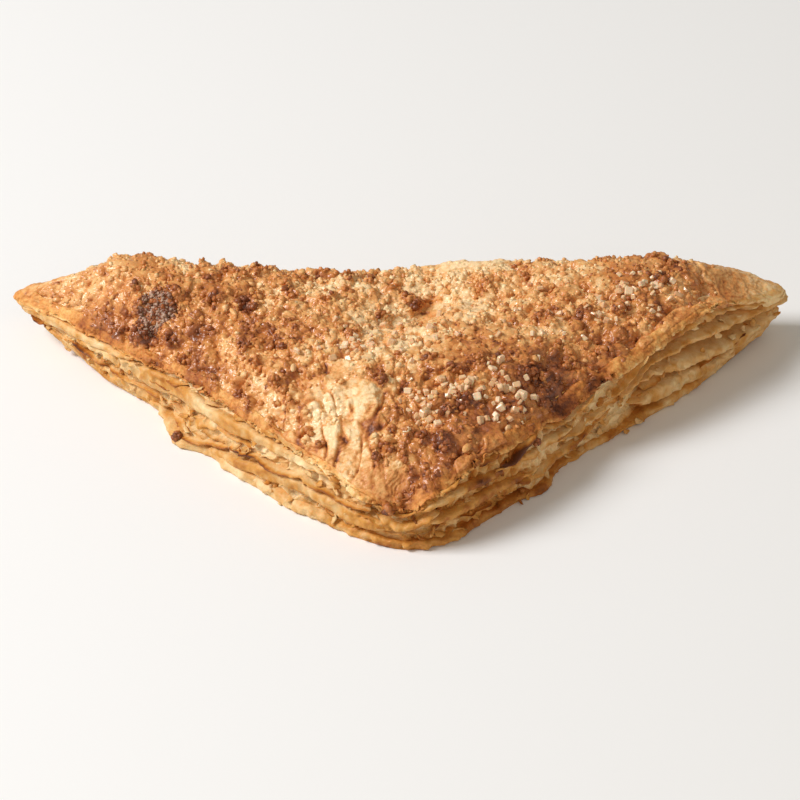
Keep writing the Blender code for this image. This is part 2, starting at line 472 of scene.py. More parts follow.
# Clusters of dark crumb: x, y, radius, how dark
CLUSTERS = (
    (-49, 17, 4, 1), (-51, 13, 2.8, 1), (-46, 19, 2, 0.8), (-57, 14, 1.9, 0.7), (-46, 9, 1.6, 0.6),
    (-37, 18, 2.8, 0.6), (-31, 16, 2.6, 1), (-22, 20, 1.7, 0.8), (-25, 4, 2, 0.8), (-31, 3, 1.5, 0.9),
    (-29, -1, 1.8, 0.7), (-43, 4, 2.2, 0.5), (-31, -7, 2.2, 0.8), (-25, -8, 1.8, 0.9),
    (-22, -13, 1.6, 0.7), (-34, 26, 3, 0.7), (-40, 27, 2.2, 0.5), (-29, 26, 2, 0.7),
    (-25, 17, 1.6, 0.7), (-15, 17, 1.8, 0.7), (-16, 29, 2.2, 0.5), (-10, 27, 2, 0.9), (-6, 26, 2, 0.8),
    (-2, 24, 1.6, 0.6), (-11, 21, 1.5, 0.6), (2, 21, 2.4, 1), (-4, 14, 2, 0.7), (-10, 6, 2.8, 0.9),
    (-9, -1, 1.7, 0.7), (-28, -2, 1.5, 0.7), (-18, -8, 2.2, 0.6), (-16, -6, 1.2, 1), (-4, -11, 1.4, 1),
    (1, -12, 1.5, 0.7), (17, 22, 2.8, 0.7), (25, 25, 1.5, 0.6), (29, 30, 2, 0.8), (28, 11, 2.2, 0.8),
    (37, 12, 2.4, 0.9), (19, 0, 1.2, 0.9), (11, 1, 1.8, 0.6), (5, -5, 1.6, 1), (11, -8, 1.8, 0.9),
    (16, -6, 1.7, 0.6), (27, -5, 2.4, 0.9), (24, -6, 1.5, 0.7), (12, -16, 2.2, 0.9), (9, -18, 1.8, 0.9),
    (22, -14, 2, 0.5), (5, -24, 1.7, 0.7), (8, -26, 2.6, 0.9), (-18, -21, 2.2, 0.7),
    (-2, -22, 1.5, 0.6), (-4, -27, 2.8, 0.9), (1, -27, 1.8, 0.7), (2, -32, 2, 0.8), (1, -35, 1.6, 0.6),
    (48, 26, 2, 0.6), (56, 27, 2.2, 0.7), (43, 8, 1.8, 0.6), (44, 14, 2.2, 0.8), (52, 23, 1.8, 0.9),
)
# Round dark crumbs as big as peppercorns: x, y, radius
BALLS = (
    (-53.4, 20.7, 1.2), (2.6, 19.2, 1.2), (-5.8, 1.4, 0.9), (-23.5, 1.8, 1), (19.2, -3.2, 0.9),
    (33.2, -0.6, 1.3), (34.4, -1.6, 1.1), (32.6, -2, 0.9), (23.8, -14.6, 0.9), (15.4, -13.6, 0.8),
    (-15.8, -23.2, 1.1), (-17.2, -21.6, 0.9), (51.6, 23, 1.1), (43.7, 13.4, 1.3), (51.4, 30.2, 0.8),
    (-23, -10.2, 1.1), (-25, -8.2, 1.1), (-24, -12.6, 0.9), (5, -4.8, 1), (-4.2, -11, 1),
    (1.2, -23.2, 0.9), (-1.8, -22.4, 1), (-4.6, -28.2, 1.1), (0.6, -28.4, 1), (28, -6, 1.2),
    (-29.4, 14.6, 1.2), (-31.6, 17, 1), (54.8, 28.4, 0.9), (-0.4, -35.4, 1), (-37, -2, 0.8),
)
# The same on the sides: x, y, z, radius
SIDE_BALLS = (
    (-44.6, -4.2, 1.7, 1.25), (-2.2, -36.4, 8.3, 1.4), (-0.6, -35.2, 9.4, 1), (26.6, -18.4, 10.9, 0.9),
)
# Slivers of nut on the top: x, y, length, width, turn, tone
SLIVERS = (
    (-2, -25, 2.1, 0.55, 8, 0.34), (-33.5, 13.5, 1.6, 0.6, 120, 0.25), (-21.5, -5, 1.9, 0.7, 75, 0.12),
    (-13.6, 2.4, 1.5, 0.6, 60, 0.22), (12.4, -26.6, 1.5, 0.8, 65, 0.3),
    (20.5, -19.5, 1.2, 0.7, 40, 0.1),
)
# Direction, how brown the crust's edge is
LIP_BROWN = (
    (90, 0.24), (150, 0.28), (163, 0.38), (176, 0.36), (195, 0.52), (225, 0.52), (250, 0.48),
    (266, 0.62), (276, 0.55), (290, 0.5), (326, 0.48), (342, 0.4), (360, 0.28), (384, 0.26),
)
# Direction, how far the grains go on over the crust's edge
LIP_GRAINED = (
    (90, 0), (158, 0), (172, 0.5), (235, 0.5), (262, 0.2), (282, 0.4), (326, 0.4), (345, 0.2), (384, 0),
)


def clusters_at(x, y):
    """How much a point is in a dark cluster, 0 to 1."""
    found = np.zeros_like(x)
    for at_x, at_y, radius, dark in CLUSTERS:
        distance = np.hypot(x - at_x, y - at_y) / radius
        found = np.maximum(found, dark * (1.0 - between(distance, 0.35, 1.25)))
    return found


# == The top crust ==


def outward(degrees):
    """Outward way of the outline in plan."""
    step = 0.4
    before = placed(degrees - step, outline(degrees - step), 0.0)
    after = placed(degrees + step, outline(degrees + step), 0.0)
    along = after - before
    return unit(np.stack((along[..., 1], -along[..., 0], np.zeros_like(degrees)), axis=-1))


def run_length(first, last):
    """Directions from first to last with the length run along the rim at each."""
    degrees = np.linspace(first, last, 4001)
    points = placed(degrees, outline(degrees), 0.0)
    steps = np.linalg.norm(np.diff(points, axis=0), axis=1)
    return degrees, np.append(0.0, np.cumsum(steps))


def even_round():
    """Shares of the way round the rim, and the direction at each."""
    degrees, run = run_length(0.0, 360.0)
    return run / run[-1], degrees


EVEN_ROUND = even_round()
CRUST_ROWS = 18          # rows of the lip, beyond the rim
BAND_COLUMNS, BAND_ROWS, BAND_FROM = 1800, 16, 0.935  # the crust's band inside the rim
BAND_DIVE, BAND_DIVES = 2.2, (BAND_FROM, 0.955)  # how far it goes down under the skin, and where
# Share of the rows, outward, downward
LIP_PROFILE = (
    (0, 0, 0), (0.15, 0.22, 0.14), (0.35, 0.32, 0.45), (0.55, 0.14, 0.78), (0.7, -0.5, 1),
    (0.85, -1.9, 1.15), (1, -4.5, 1.25),
)
# Height, size, seed
LIP_RAGS = ((0.55, 3.4, 74), (0.35, 1.5, 75), (0.18, 0.8, 76))
TUCK_FROM = 0.86         # share of the rows where the fold turns under the base
TUCK = 4.5
TUCK_HEIGHT = 0.35
PLAIN_BROWN = 0.30       # how brown the crust is away from its lobes
PALE_LIP = 0.24          # how much paler the lip is below
SWELL_HEIGHT, SWELL_SIZE = 0.35, 11.0
STEP_HEIGHT, STEP_SIZE, STEP_COUNT = 0.20, (5.0, 7.0, 5.0), 3.5
FURROW_DEPTH, FURROW_SIZE = 0.55, (2.4, 9.0, 7.0)
BUBBLE_HEIGHT, BUBBLE_SIZE = 0.42, 1.7
BEAD_HEIGHT, BEAD_SIZE = 0.20, 0.85
# Where the dough is furrowed: lobes as x, y, length, width, turn, size
FURROWED = (
    (-20, -13, 9, 10, 0, 1), (-8, -15, 9, 10, 0, 1.2), (-10, -25, 6, 8, 0, 0.8), (2, -2, 10, 7, 0, 1),
    (6, 8, 9, 7, 0, 0.8), (-14, 0, 7, 6, 0, 0.6),
)


def crust_form(points, row):
    """Put the flat sheet and its border rows on the pastry; give directions and inwardness too."""
    degrees, distance = polar(points)
    inward = np.minimum(distance / sharp_outline(degrees), 1.0)
    radius = (outline(degrees) - wall_inset(degrees, 1.0)) * inward
    plan = placed(degrees, radius, 0.0)
    height = crown_height(plan[:, 0], plan[:, 1], degrees, inward)
    share = row / CRUST_ROWS
    lip_out, lip_down = profiled(share, LIP_PROFILE)
    rise = 1.0 - np.minimum(share / TUCK_FROM, 1.0)
    tuck = np.maximum(share - TUCK_FROM, 0.0) / (1.0 - TUCK_FROM)
    fold_out = wall_inset(degrees, 1.0) - wall_inset(degrees, rise) - TUCK * tuck
    fold_down = (rim_height(degrees) - TUCK_HEIGHT) * (1.0 - rise)
    fold = fold_share(degrees)
    edge = row > 0
    radius = np.where(edge, radius + lip_out * (1.0 - fold) + fold_out * fold, radius)
    height = np.where(edge, height - lip_down * (1.0 - fold) - fold_down * fold, height)
    return placed(degrees, radius, height), degrees, inward


def warped(points, size, reach, seed):
    """Points pushed about by smooth noise."""
    return points + reach * np.stack([hills(points, size, seed + part) for part in (1, 2, 3)], axis=-1)


def caps(points, size, seed):
    """Fused round lumps: height from 0 between them to 1, and a number of each."""
    first, _, tone = cells(warped(points, size, 0.25 * size, seed + 30), size, seed)
    first = first + 0.16 * hills(points, 0.4 * size, seed + 34)
    return np.sqrt(np.clip(1.0 - (first / 0.85) ** 2, 0.0, 1.0)), tone


def furrows(points):
    """How much a point is in a furrow of the dough, 0 to 1."""
    ridge = np.abs(hills(warped(points, 5.0, 1.4, 64) / FURROW_SIZE, 1.0, 66))
    return (1.0 - between(ridge, 0.0, 0.16)) * lobed(points, FURROWED)


def dough_relief(points):
    """Height of the flaky steps and bubbles of the bare dough, and how brown they make it, with painted shade
    between the bubbles and beads.
    """
    steps = STEP_COUNT * rough(points / STEP_SIZE, 1.0, 4, 61)
    part = steps - np.floor(steps)
    step = np.floor(steps) + between(part, 0.0, 0.22)
    bubble, bubble_tone = caps(points, BUBBLE_SIZE, 68)
    bead, bead_tone = caps(points, BEAD_SIZE, 73)
    pebbled = 0.35 + 0.65 * lobed(points, FURROWED)
    fine = BUBBLE_HEIGHT * bubble * (0.3 + 0.7 * bubble_tone) * pebbled
    fine = fine + BEAD_HEIGHT * bead * (0.2 + 0.8 * bead_tone)
    brown = 0.12 * (1.0 - between(part, 0.1, 0.5)) - 0.05 * step
    # Darker between the bubbles and the beads: the dough's own orange lines there, with painted shade in
    # these hollows.
    brown = brown + 0.42 * (0.65 - bubble) * pebbled + 0.20 * (bubble_tone - 0.5) + 0.16 * (0.6 - bead)
    return STEP_HEIGHT * step + fine, brown


def top_fields(x, y, inward):
    """On the top: how much a point is coated, in a dark cluster, and browned, with painted shade on the
    slopes away from the key light.
    """
    plan = np.stack((x, y, np.zeros_like(x)), axis=-1)
    on_top = 1.0 - between(inward, 0.985, 1.0)
    coat = smooth((lobes(x, y, COATING) + 0.55 * rough(plan, 6.0, 3, 11)) * 1.3) * on_top
    dark = clusters_at(x + hills(plan, 1.5, 5), y + hills(plan, 1.5, 6)) * on_top
    brown = PLAIN_BROWN + lobes(x, y, BROWNING_AND_SHADE) + 0.16 * rough(plan, 5.0, 3, 91)
    return coat, dark, brown


def edge_brown(degrees, inward):
    """How much browner the crust gets towards its edge."""
    return between(inward, 0.78, 0.98) * (stationed(degrees, LIP_BROWN) - PLAIN_BROWN)


def build_top_crust(material):
    """The crust's edge: a band inside the rim, the lip over the legs and the fold down to the base."""
    bm = bmesh.new()
    bmesh.ops.create_grid(bm, x_segments=BAND_COLUMNS, y_segments=BAND_ROWS + CRUST_ROWS, size=0.5)
    mesh = new_mesh("top_crust", bm)
    places = coordinates(mesh)[:, :2] + 0.5
    degrees = np.interp(places[:, 0], *EVEN_ROUND)
    row = places[:, 1] * (BAND_ROWS + CRUST_ROWS) - BAND_ROWS
    row = np.where(row > -0.5, np.maximum(row, 0.0), row)
    inward = 1.0 - (1.0 - BAND_FROM) * np.maximum(-row, 0.0) / BAND_ROWS
    formed = crust_form(placed(degrees, sharp_outline(degrees) * inward, 0.0), np.maximum(row, 0.0))[0]
    lip = np.maximum(row, 0.0) / CRUST_ROWS
    edge = between(lip, 0.05, 0.5) * (1.0 - fold_share(degrees))
    torn = rough(formed, 5.0, 4, 77)
    ragged = layered(formed, LIP_RAGS) + 0.8 * (between(torn - np.floor(torn * 2.0) / 2.0, 0.0, 0.12) - 0.5)
    formed += outward(degrees) * (ragged * edge)[:, None]
    formed[:, 2] -= (0.9 * torn + 0.45 * hills(formed, 1.6, 78)) * edge
    formed[:, 2] -= BAND_DIVE * (1.0 - between(inward, *BAND_DIVES))
    move(mesh, formed)
    face_outwards(mesh)
    formed = coordinates(mesh)
    way = normals(mesh)
    degrees, distance = polar(formed)
    inward = np.minimum(distance / (outline(degrees) - wall_inset(degrees, 1.0)), 1.0)
    under = between(rim_height(degrees) - formed[:, 2], 0.5, 1.3) * (1.0 - fold_share(degrees))
    shown = (1.0 - under) * between(formed[:, 2], 0.3, 1.2)
    coat, dark, brown = top_fields(formed[:, 0], formed[:, 1], np.zeros(len(formed)))
    grained = stationed(degrees, LIP_GRAINED) * (1.0 - under)
    flakes, flake_brown_and_shade = dough_relief(formed)
    grains, grain_brown_and_shade = grain_relief(formed, 0.6 * coat, 0.5 * dark)
    relief = flakes * (1.0 - 0.6 * grained) + (grains - LIP_SINK) * grained
    relief += SWELL_HEIGHT * rough(formed, SWELL_SIZE, 2, 71)
    move(mesh, formed + way * (relief * shown)[:, None])
    brown = brown + 0.9 * edge_brown(degrees, inward)
    drop = (rim_height(degrees) - formed[:, 2]) * (1.0 - fold_share(degrees))
    brown = brown - PALE_LIP * between(drop + 0.25 * hills(formed, 2.5, 80), 0.15, 0.75)
    shade = 0.85 * brown + flake_brown_and_shade * (1.0 - grained) + grain_brown_and_shade * grained
    finish_piece("top_crust", mesh, material, {"shade": np.clip(shade, 0.0, 1.0)})


# == The top's skin: bare dough, and the coat of fused grains that stands out of it ==

SKIN_CUTS, SKIN_PARTS = 290, ("left", "back", "front", "right")
SKIN_EVERY = 5           # of these points of the skin, one may carry a topping
SKIN_DIVE = 1.3          # how far the skin goes down into the crust's edge
GRAINED = (0.10, 0.42)   # coating where the grains begin, and where they are full
LUMP_HEIGHT, LUMP_SIZE = 1.8, 4.6
KNOB_HEIGHT, KNOB_SIZE = 1.2, 2.5
GRAIN_HEIGHT, GRAIN_SIZE = 0.55, 1.2
GRIT_HEIGHT, GRIT_SIZE = 0.14, 0.6
COAT_SINK, EDGE_SINK, LIP_SINK = 1.1, 1.1, 2.2
# Where the coat lies lower than the form: lobes as x, y, length, width, turn, size
HOLLOWS = (
    (-44, 32, 6, 9, 0, 1.7), (-36, 30, 5, 6, 0, 1.2), (-8, 34, 5, 6, 0, 1.2), (-15, 33, 5, 7, 0, 0.9),
    (44, 32, 8, 8, 0, 1.2),
)
CEILING, CEILING_GIVE = 21.4, 0.4


def under_ceiling(points):
    """Lower what stands above the highest part of the form."""
    height = points[:, 2]
    points[:, 2] = np.where(height > CEILING, CEILING + CEILING_GIVE * (height - CEILING), height)
    return points


def grain_relief(points, coat, dark):
    """Height of the fused grains, and how brown they make the coat, with painted shade in the hollows between
    them and painted light on their tops.
    """
    lump, lump_tone = caps(points, LUMP_SIZE, 41)
    knob, knob_tone = caps(points, KNOB_SIZE, 31)
    grain, grain_tone = caps(points, GRAIN_SIZE, 21)
    grit, grit_tone = caps(points, GRIT_SIZE, 26)
    lump_rise = lump * (0.35 + 0.65 * lump_tone)
    knob_rise = knob * (0.3 + 0.7 * knob_tone)
    grain_rise = grain * (0.35 + 0.65 * grain_tone)
    broad = (LUMP_HEIGHT * lump_rise + KNOB_HEIGHT * knob_rise) * (0.4 + 0.6 * coat)
    fine = GRAIN_HEIGHT * grain_rise + GRIT_HEIGHT * grit * grit_tone + dark * (0.35 + 0.4 * knob)
    # How deep a point lies between the lumps, knobs and grains: it darkens the hollows as painted shade and
    # lightens the tops as painted light.
    hollow = 1.0 - np.clip(0.45 * lump_rise + 0.50 * knob_rise + 0.25 * grain_rise, 0.0, 1.0)
    tone = 0.30 * lump_tone + 0.40 * knob_tone + 0.30 * grain_tone
    return broad + fine, 0.55 * (hollow - 0.5) + 0.9 * (tone - 0.5) + 0.42 * dark


def skin_surface(formed, inward, coat, dark, brown):
    """Points of the top's skin and their shade."""
    grained = between(coat, *GRAINED)
    grains, grain_brown_and_shade = grain_relief(formed, coat, dark)
    dough, dough_brown_and_shade = dough_relief(formed)
    # How much a point is in a furrow; it darkens the shade there, painted shade in the furrow over the
    # dough's own orange.
    furrow = furrows(formed) * (1.0 - 0.4 * grained)
    edge = between(inward, 0.72, 0.98)
    relief = dough * (1.0 - grained) + (grains - COAT_SINK - EDGE_SINK * edge) * grained
    relief += SWELL_HEIGHT * rough(formed, SWELL_SIZE, 2, 71) - FURROW_DEPTH * furrow
    relief -= SKIN_DIVE * between(inward + 0.008 * hills(formed, 3.0, 79), 0.985, 1.0)
    relief -= lobes(formed[:, 0], formed[:, 1], HOLLOWS)
    shade = 0.85 * brown + dough_brown_and_shade * (1.0 - grained) + grain_brown_and_shade * grained + 0.6 * furrow
    points = under_ceiling(formed + crown_way(formed[:, 0], formed[:, 1]) * relief[:, None])
    return points, shade


def build_skin(material):
    """The skin in four parts; gives points for the toppings, their outward ways and fields."""
    gathered = []
    for number, part in enumerate(SKIN_PARTS):
        bm = triangle_sheet(SKIN_CUTS, (0.5 * (number // 2), 0.5 * (number % 2)), 0.5)
        mesh = new_mesh("skin_" + part, bm)
        formed, degrees, inward = crust_form(coordinates(mesh), np.zeros(len(mesh.vertices)))
        coat, dark, brown = top_fields(formed[:, 0], formed[:, 1], inward)
        brown = brown + 0.8 * edge_brown(degrees, inward)
        points, shade = skin_surface(formed, inward, coat, dark, brown)
        move(mesh, points)
        way = normals(mesh)
        glaze = 0.25 + 0.75 * between(coat, *GRAINED)
        finish_piece("skin_" + part, mesh, material,
                     {"shade": np.clip(shade, 0.0, 1.0), "glaze": glaze})
        fields = {"points": points, "way": way, "coat": coat, "dark": dark, "shade": shade}
        shown = np.flatnonzero(inward < 0.97)[::SKIN_EVERY]
        gathered.append({key: field[shown] for key, field in fields.items()})
    return {key: np.concatenate([part[key] for part in gathered]) for key in gathered[0]}


# == Toppings: grains, crumbs, balls and sugar, scattered over the crust ==


def nearest(crust, wanted):
    """Numbers of the crust's points nearest in plan to places given as x, y and more."""
    away = crust["points"][:, :2]
    return np.array([np.argmin(((away - place[:2]) ** 2).sum(axis=1)) for place in wanted])


def unit_shape(make):
    """Corners and faces of a small shape that a function makes."""
    bm = bmesh.new()
    make(bm)
    bmesh.ops.triangulate(bm, faces=bm.faces)
    corners = np.array([vert.co[:] for vert in bm.verts])
    faces = np.array([[vert.index for vert in face.verts] for face in bm.faces])
    bm.free()
    return corners, faces


def spread(points, chance, spacing, seed):
    """Numbers of points that are kept by chance, at most one in each cube of a size."""
    draw = np.random.default_rng(seed)
    kept = np.flatnonzero(draw.random(len(points)) < chance)
    draw.shuffle(kept)
    cubes = np.floor(points[kept] / np.broadcast_to(spacing, (len(points), 1))[kept]).astype(int)
    _, first = np.unique(cubes, axis=0, return_index=True)
    return kept[first]


def frames(ways, tilt, draw):
    """Turned frames, one for each way, whose third axis keeps to the way but for the tilt."""
    up = unit(ways + tilt * draw.normal(size=ways.shape))
    side = unit(np.cross(up, draw.normal(size=ways.shape)))
    return np.stack((side, np.cross(up, side), up), axis=1)


def scatter(name, make, places, turns, sizes, wobble, tones, material, draw,
            faceted=False, key="tone"):
    """One mesh of many copies of a small shape, each turned, sized and a little misshapen."""
    corners, faces = unit_shape(make)
    count, corner_count = len(places), len(corners)
    uneven = 1.0 + wobble * draw.uniform(-1.0, 1.0, (count, corner_count, 1))
    local = corners[None] * uneven * sizes[:, None, :]
    points = (local @ turns + places[:, None, :]).reshape(-1, 3)
    joined = (faces[None] + corner_count * np.arange(count)[:, None, None]).reshape(-1, 3)
    mesh = bpy.data.meshes.new(name)
    mesh.vertices.add(len(points))
    mesh.vertices.foreach_set("co", points.ravel())
    mesh.loops.add(joined.size)
    mesh.loops.foreach_set("vertex_index", joined.ravel())
    mesh.polygons.add(len(joined))
    mesh.polygons.foreach_set("loop_start", np.arange(0, joined.size, 3))
    mesh.update(calc_edges=True)
    finish_piece(name, mesh, material, {key: np.repeat(tones, corner_count)}, faceted)


# How likely a point of the crust is to carry one, and how far apart they stay
GRAIN_CHANCE, GRAIN_SPACING = 0.085, 1.0
STRAY_CHANCE, FROST_CHANCE = 0.002, 0.9
CRUMB_CHANCE, CRUMB_SPACING = 0.22, 0.9
SUGAR_CHANCE, SUGAR_SPACING = 0.10, 1.15
GRAIN_RADIUS = (0.26, 0.72)
CRUMB_RADIUS = (0.32, 0.72)
SUGAR_SIZE = (0.42, 0.76)


def pebble(bm):
    """A cube rounded to a ball."""
    bmesh.ops.create_cube(bm, size=1.0)
    bmesh.ops.subdivide_edges(bm, edges=bm.edges, cuts=1, use_grid_fill=True)
    for vert in bm.verts:
        vert.co.normalize()


def build_grains(crust, material):
    """Amber grains of sugar and dough, half sunk into the crust."""
    draw = np.random.default_rng(31)
    points, way, coat, shade = (crust[key] for key in ("points", "way", "coat", "shade"))
    frost = lobed(points, FROSTED)
    chance = GRAIN_CHANCE * between(coat, *GRAINED) + STRAY_CHANCE + FROST_CHANCE * frost
    kept = spread(points, chance, GRAIN_SPACING - 0.4 * frost[:, None], 32)
    count = len(kept)
    frost = frost[kept]
    radius = GRAIN_RADIUS[0] + (GRAIN_RADIUS[1] - GRAIN_RADIUS[0]) * draw.random((count, 1)) ** 1.6
    radius = radius * (1.0 - 0.3 * frost[:, None])
    size = radius * draw.uniform(0.6, 1.3, (count, 3))
    places = points[kept] + way[kept] * radius * draw.uniform(-0.6, 0.0, (count, 1))
    tones = np.clip(shade[kept] + draw.normal(0.0, 0.13, count), 0.0, 0.8)
    tones = tones + (draw.uniform(0.84, 1.0, count) - tones) * between(frost, 0.3, 0.6)
    scatter("crumb_grains", pebble, places, frames(way[kept], 2.0, draw), size, 0.36,
            tones, material, draw)


def build_crumbs(crust, material):
    """Dark crumbs heaped in clusters."""
    draw = np.random.default_rng(41)
    points, way, dark, shade = (crust[key] for key in ("points", "way", "dark", "shade"))
    frost = lobed(points, FROSTED)
    chance = CRUMB_CHANCE * between(dark, 0.2, 0.7) * (1.0 - 0.85 * frost)
    kept = spread(points, chance, CRUMB_SPACING, 42)
    count = len(kept)
    size = draw.uniform(*CRUMB_RADIUS, (count, 1)) * draw.uniform(0.6, 1.35, (count, 3))
    places = points[kept] + way[kept] * draw.uniform(-0.45, 0.1, (count, 1))
    tones = 0.25 + 0.6 * shade[kept] + draw.normal(0.0, 0.14, count)
    scatter("crumb_clusters", pebble, places, frames(way[kept], 2.0, draw), size, 0.42,
            np.clip(tones, 0.0, 0.8), material, draw)


BALL_PARTS = 10          # small crumbs fused in one ball


def build_balls(crust, material):
    """The biggest round crumbs, each in its own place and of fused smaller ones."""
    draw = np.random.default_rng(51)
    wanted = np.array(BALLS)
    kept = nearest(crust, wanted)
    radius = wanted[:, 2:]
    middles = crust["points"][kept] + crust["way"][kept] * 0.05 * radius
    middles = np.concatenate((middles, np.array(SIDE_BALLS)[:, :3]))
    radius = np.concatenate((radius, np.array(SIDE_BALLS)[:, 3:]))
    away = unit(draw.normal(size=(len(radius), BALL_PARTS, 3)))
    away = away * draw.uniform(0.3, 0.6, away.shape[:2] + (1,))
    places = (middles[:, None, :] + radius[:, None, :] * away).reshape(-1, 3)
    count = len(places)
    size = np.repeat(radius, BALL_PARTS, axis=0) * draw.uniform(0.38, 0.70, (count, 3))
    tones = np.repeat(draw.uniform(0.55, 0.85, len(radius)), BALL_PARTS) + draw.normal(0.0, 0.10, count)
    turns = frames(draw.normal(size=(count, 3)), 0.0, draw)
    scatter("crumb_balls", pebble, places, turns, size, 0.26,
            np.clip(tones, 0.0, 0.85), material, draw)


def build_slivers(crust, material):
    """Slivers of nut, each in its own place."""
    draw = np.random.default_rng(81)
    wanted = np.array(SLIVERS)
    kept = nearest(crust, wanted)
    ways = crust["way"][kept]
    along = np.concatenate((heading(wanted[:, 4]), np.zeros((len(wanted), 1))), axis=1)
    along = unit(along - ways * (along * ways).sum(axis=1, keepdims=True))
    turns = np.stack((along, np.cross(ways, along), ways), axis=1)
    size = np.stack((wanted[:, 2], wanted[:, 3], np.full(len(wanted), 0.45)), axis=1)
    places = crust["points"][kept] + ways * 0.35
    scatter("nut_slivers", pebble, places, turns, size, 0.1,
            wanted[:, 5], material, draw)


def crystal(bm):
    """A cube with its edges taken off."""
    bmesh.ops.create_cube(bm, size=2.0)
    bmesh.ops.bevel(bm, geom=bm.edges, offset=0.30, segments=1, profile=0.5, affect="EDGES", material=-1)


def build_sugar(crust, material):
    """Coarse clear sugar."""
    draw = np.random.default_rng(61)
    points, way = crust["points"], crust["way"]
    kept = spread(points, SUGAR_CHANCE * lobed(points, SUGARED), SUGAR_SPACING, 62)
    count = len(kept)
    size = draw.uniform(*SUGAR_SIZE, (count, 1)) * draw.uniform(0.45, 1.3, (count, 3))
    places = points[kept] + way[kept] * draw.uniform(-0.2, 0.4, (count, 1))
    scatter("sugar", crystal, places, frames(way[kept], 2.0, draw), size, 0.08,
            draw.uniform(0.0, 1.0, count), material, draw, faceted=True)


# == The cut legs: a core behind, leaves that stand out of it, and the base sheet ==

LEG_START, LEG_END = 156.0, 385.0    # directions, from the left tip to the right tip
# Share of the rim's height that the base sheet's edge takes up
BASE_TOP = (
    (90, 0.1), (140, 0.14), (158, 0.42), (172, 0.2), (190, 0.14), (215, 0.18), (250, 0.18), (270, 0.18),
    (300, 0.1), (332, 0.09), (360, 0.1), (377, 0.22), (386, 0.22), (400, 0.12),
)
# How far the leaves are fanned open
FAN = (
    (90, 0), (348, 0), (358, 0.8), (366, 1), (374, 0.8), (379, 0.1), (384, 0),
)


LEG_DEGREES, LEG_RUN = run_length(LEG_START, LEG_END)
LEG_LENGTH = LEG_RUN[-1]


def leg_direction(run):
    return np.interp(run, LEG_RUN, LEG_DEGREES)


LEG_STEP, FOLD_STEP, CORE_ROWS = 0.24, 1.2, 72
CORE_RECESS, FOLD_RECESS, FAN_RECESS = 0.9, 3.6, 3.2
CELL_SIZE, CELL_DEPTH = 2.6, 1.3
LEDGE_DEPTH = 1.7
# How much the ledges wander: ledges, length, height, seed
WANDERS = ((0.9, 9.0, 5.0, 17), (0.55, 3.2, 2.2, 18), (0.22, 1.1, 1.0, 19))
# How many ledges there are in a millimetre of height
LEDGE_COUNT = (
    (90, 0.3), (160, 0.34), (240, 0.27), (262, 0.32), (280, 0.42), (340, 0.48), (360, 0.34),
)
# How much browner the dough is along the wall: its own browning, with painted shade added along the front
# corner and right leg, about 262 to 318 degrees, which face away from the key light
WALL_BROWN_AND_SHADE = (
    (90, 0.2), (158, 0.4), (175, 0.28), (215, 0.28), (240, 0.26), (262, 0.36), (280, 0.51), (302, 0.56),
    (318, 0.28), (330, 0.25), (352, 0.33), (372, 0.26), (385, 0.2),
)


SEAM = ((20.5, -27.0, 10.6), (28.6, -18.6, 11.4))  # ends of the gap where the filling shows


def in_seam(points):
    """How much a point is stained by the filling, 0 to 1."""
    first, last = np.array(SEAM)
    along = np.clip((points - first) @ (last - first) / ((last - first) ** 2).sum(), 0.0, 1.0)
    away = np.linalg.norm((points - first - along[:, None] * (last - first)) * (0.6, 0.6, 1.0), axis=1)
    return 1.0 - between(away + 0.5 * rough(points, 2.0, 3, 24), 0.7, 1.7)


def bubble_pits(points, full, least):
    """How deep a point is in the pit of a bubble, 0 to 1."""
    first, second, tone = cells(warped(points, 3.0, 0.7, 3), CELL_SIZE, 7)
    return between(second - first, 0.03, full) * (least + (1.0 - least) * tone)


def core_columns():
    """Directions round the pastry, close together along the legs, with the length run at each."""
    degrees, run = run_length(0.0, 360.0)
    close = np.diff(run) / np.where(fold_share(degrees[1:]) > 0.5, FOLD_STEP, LEG_STEP)
    count = np.append(0.0, np.cumsum(close))
    columns = round(count[-1])
    even = np.linspace(0.0, count[-1], columns + 1)
    return columns, np.interp(even, count, degrees), np.interp(even, count, run)


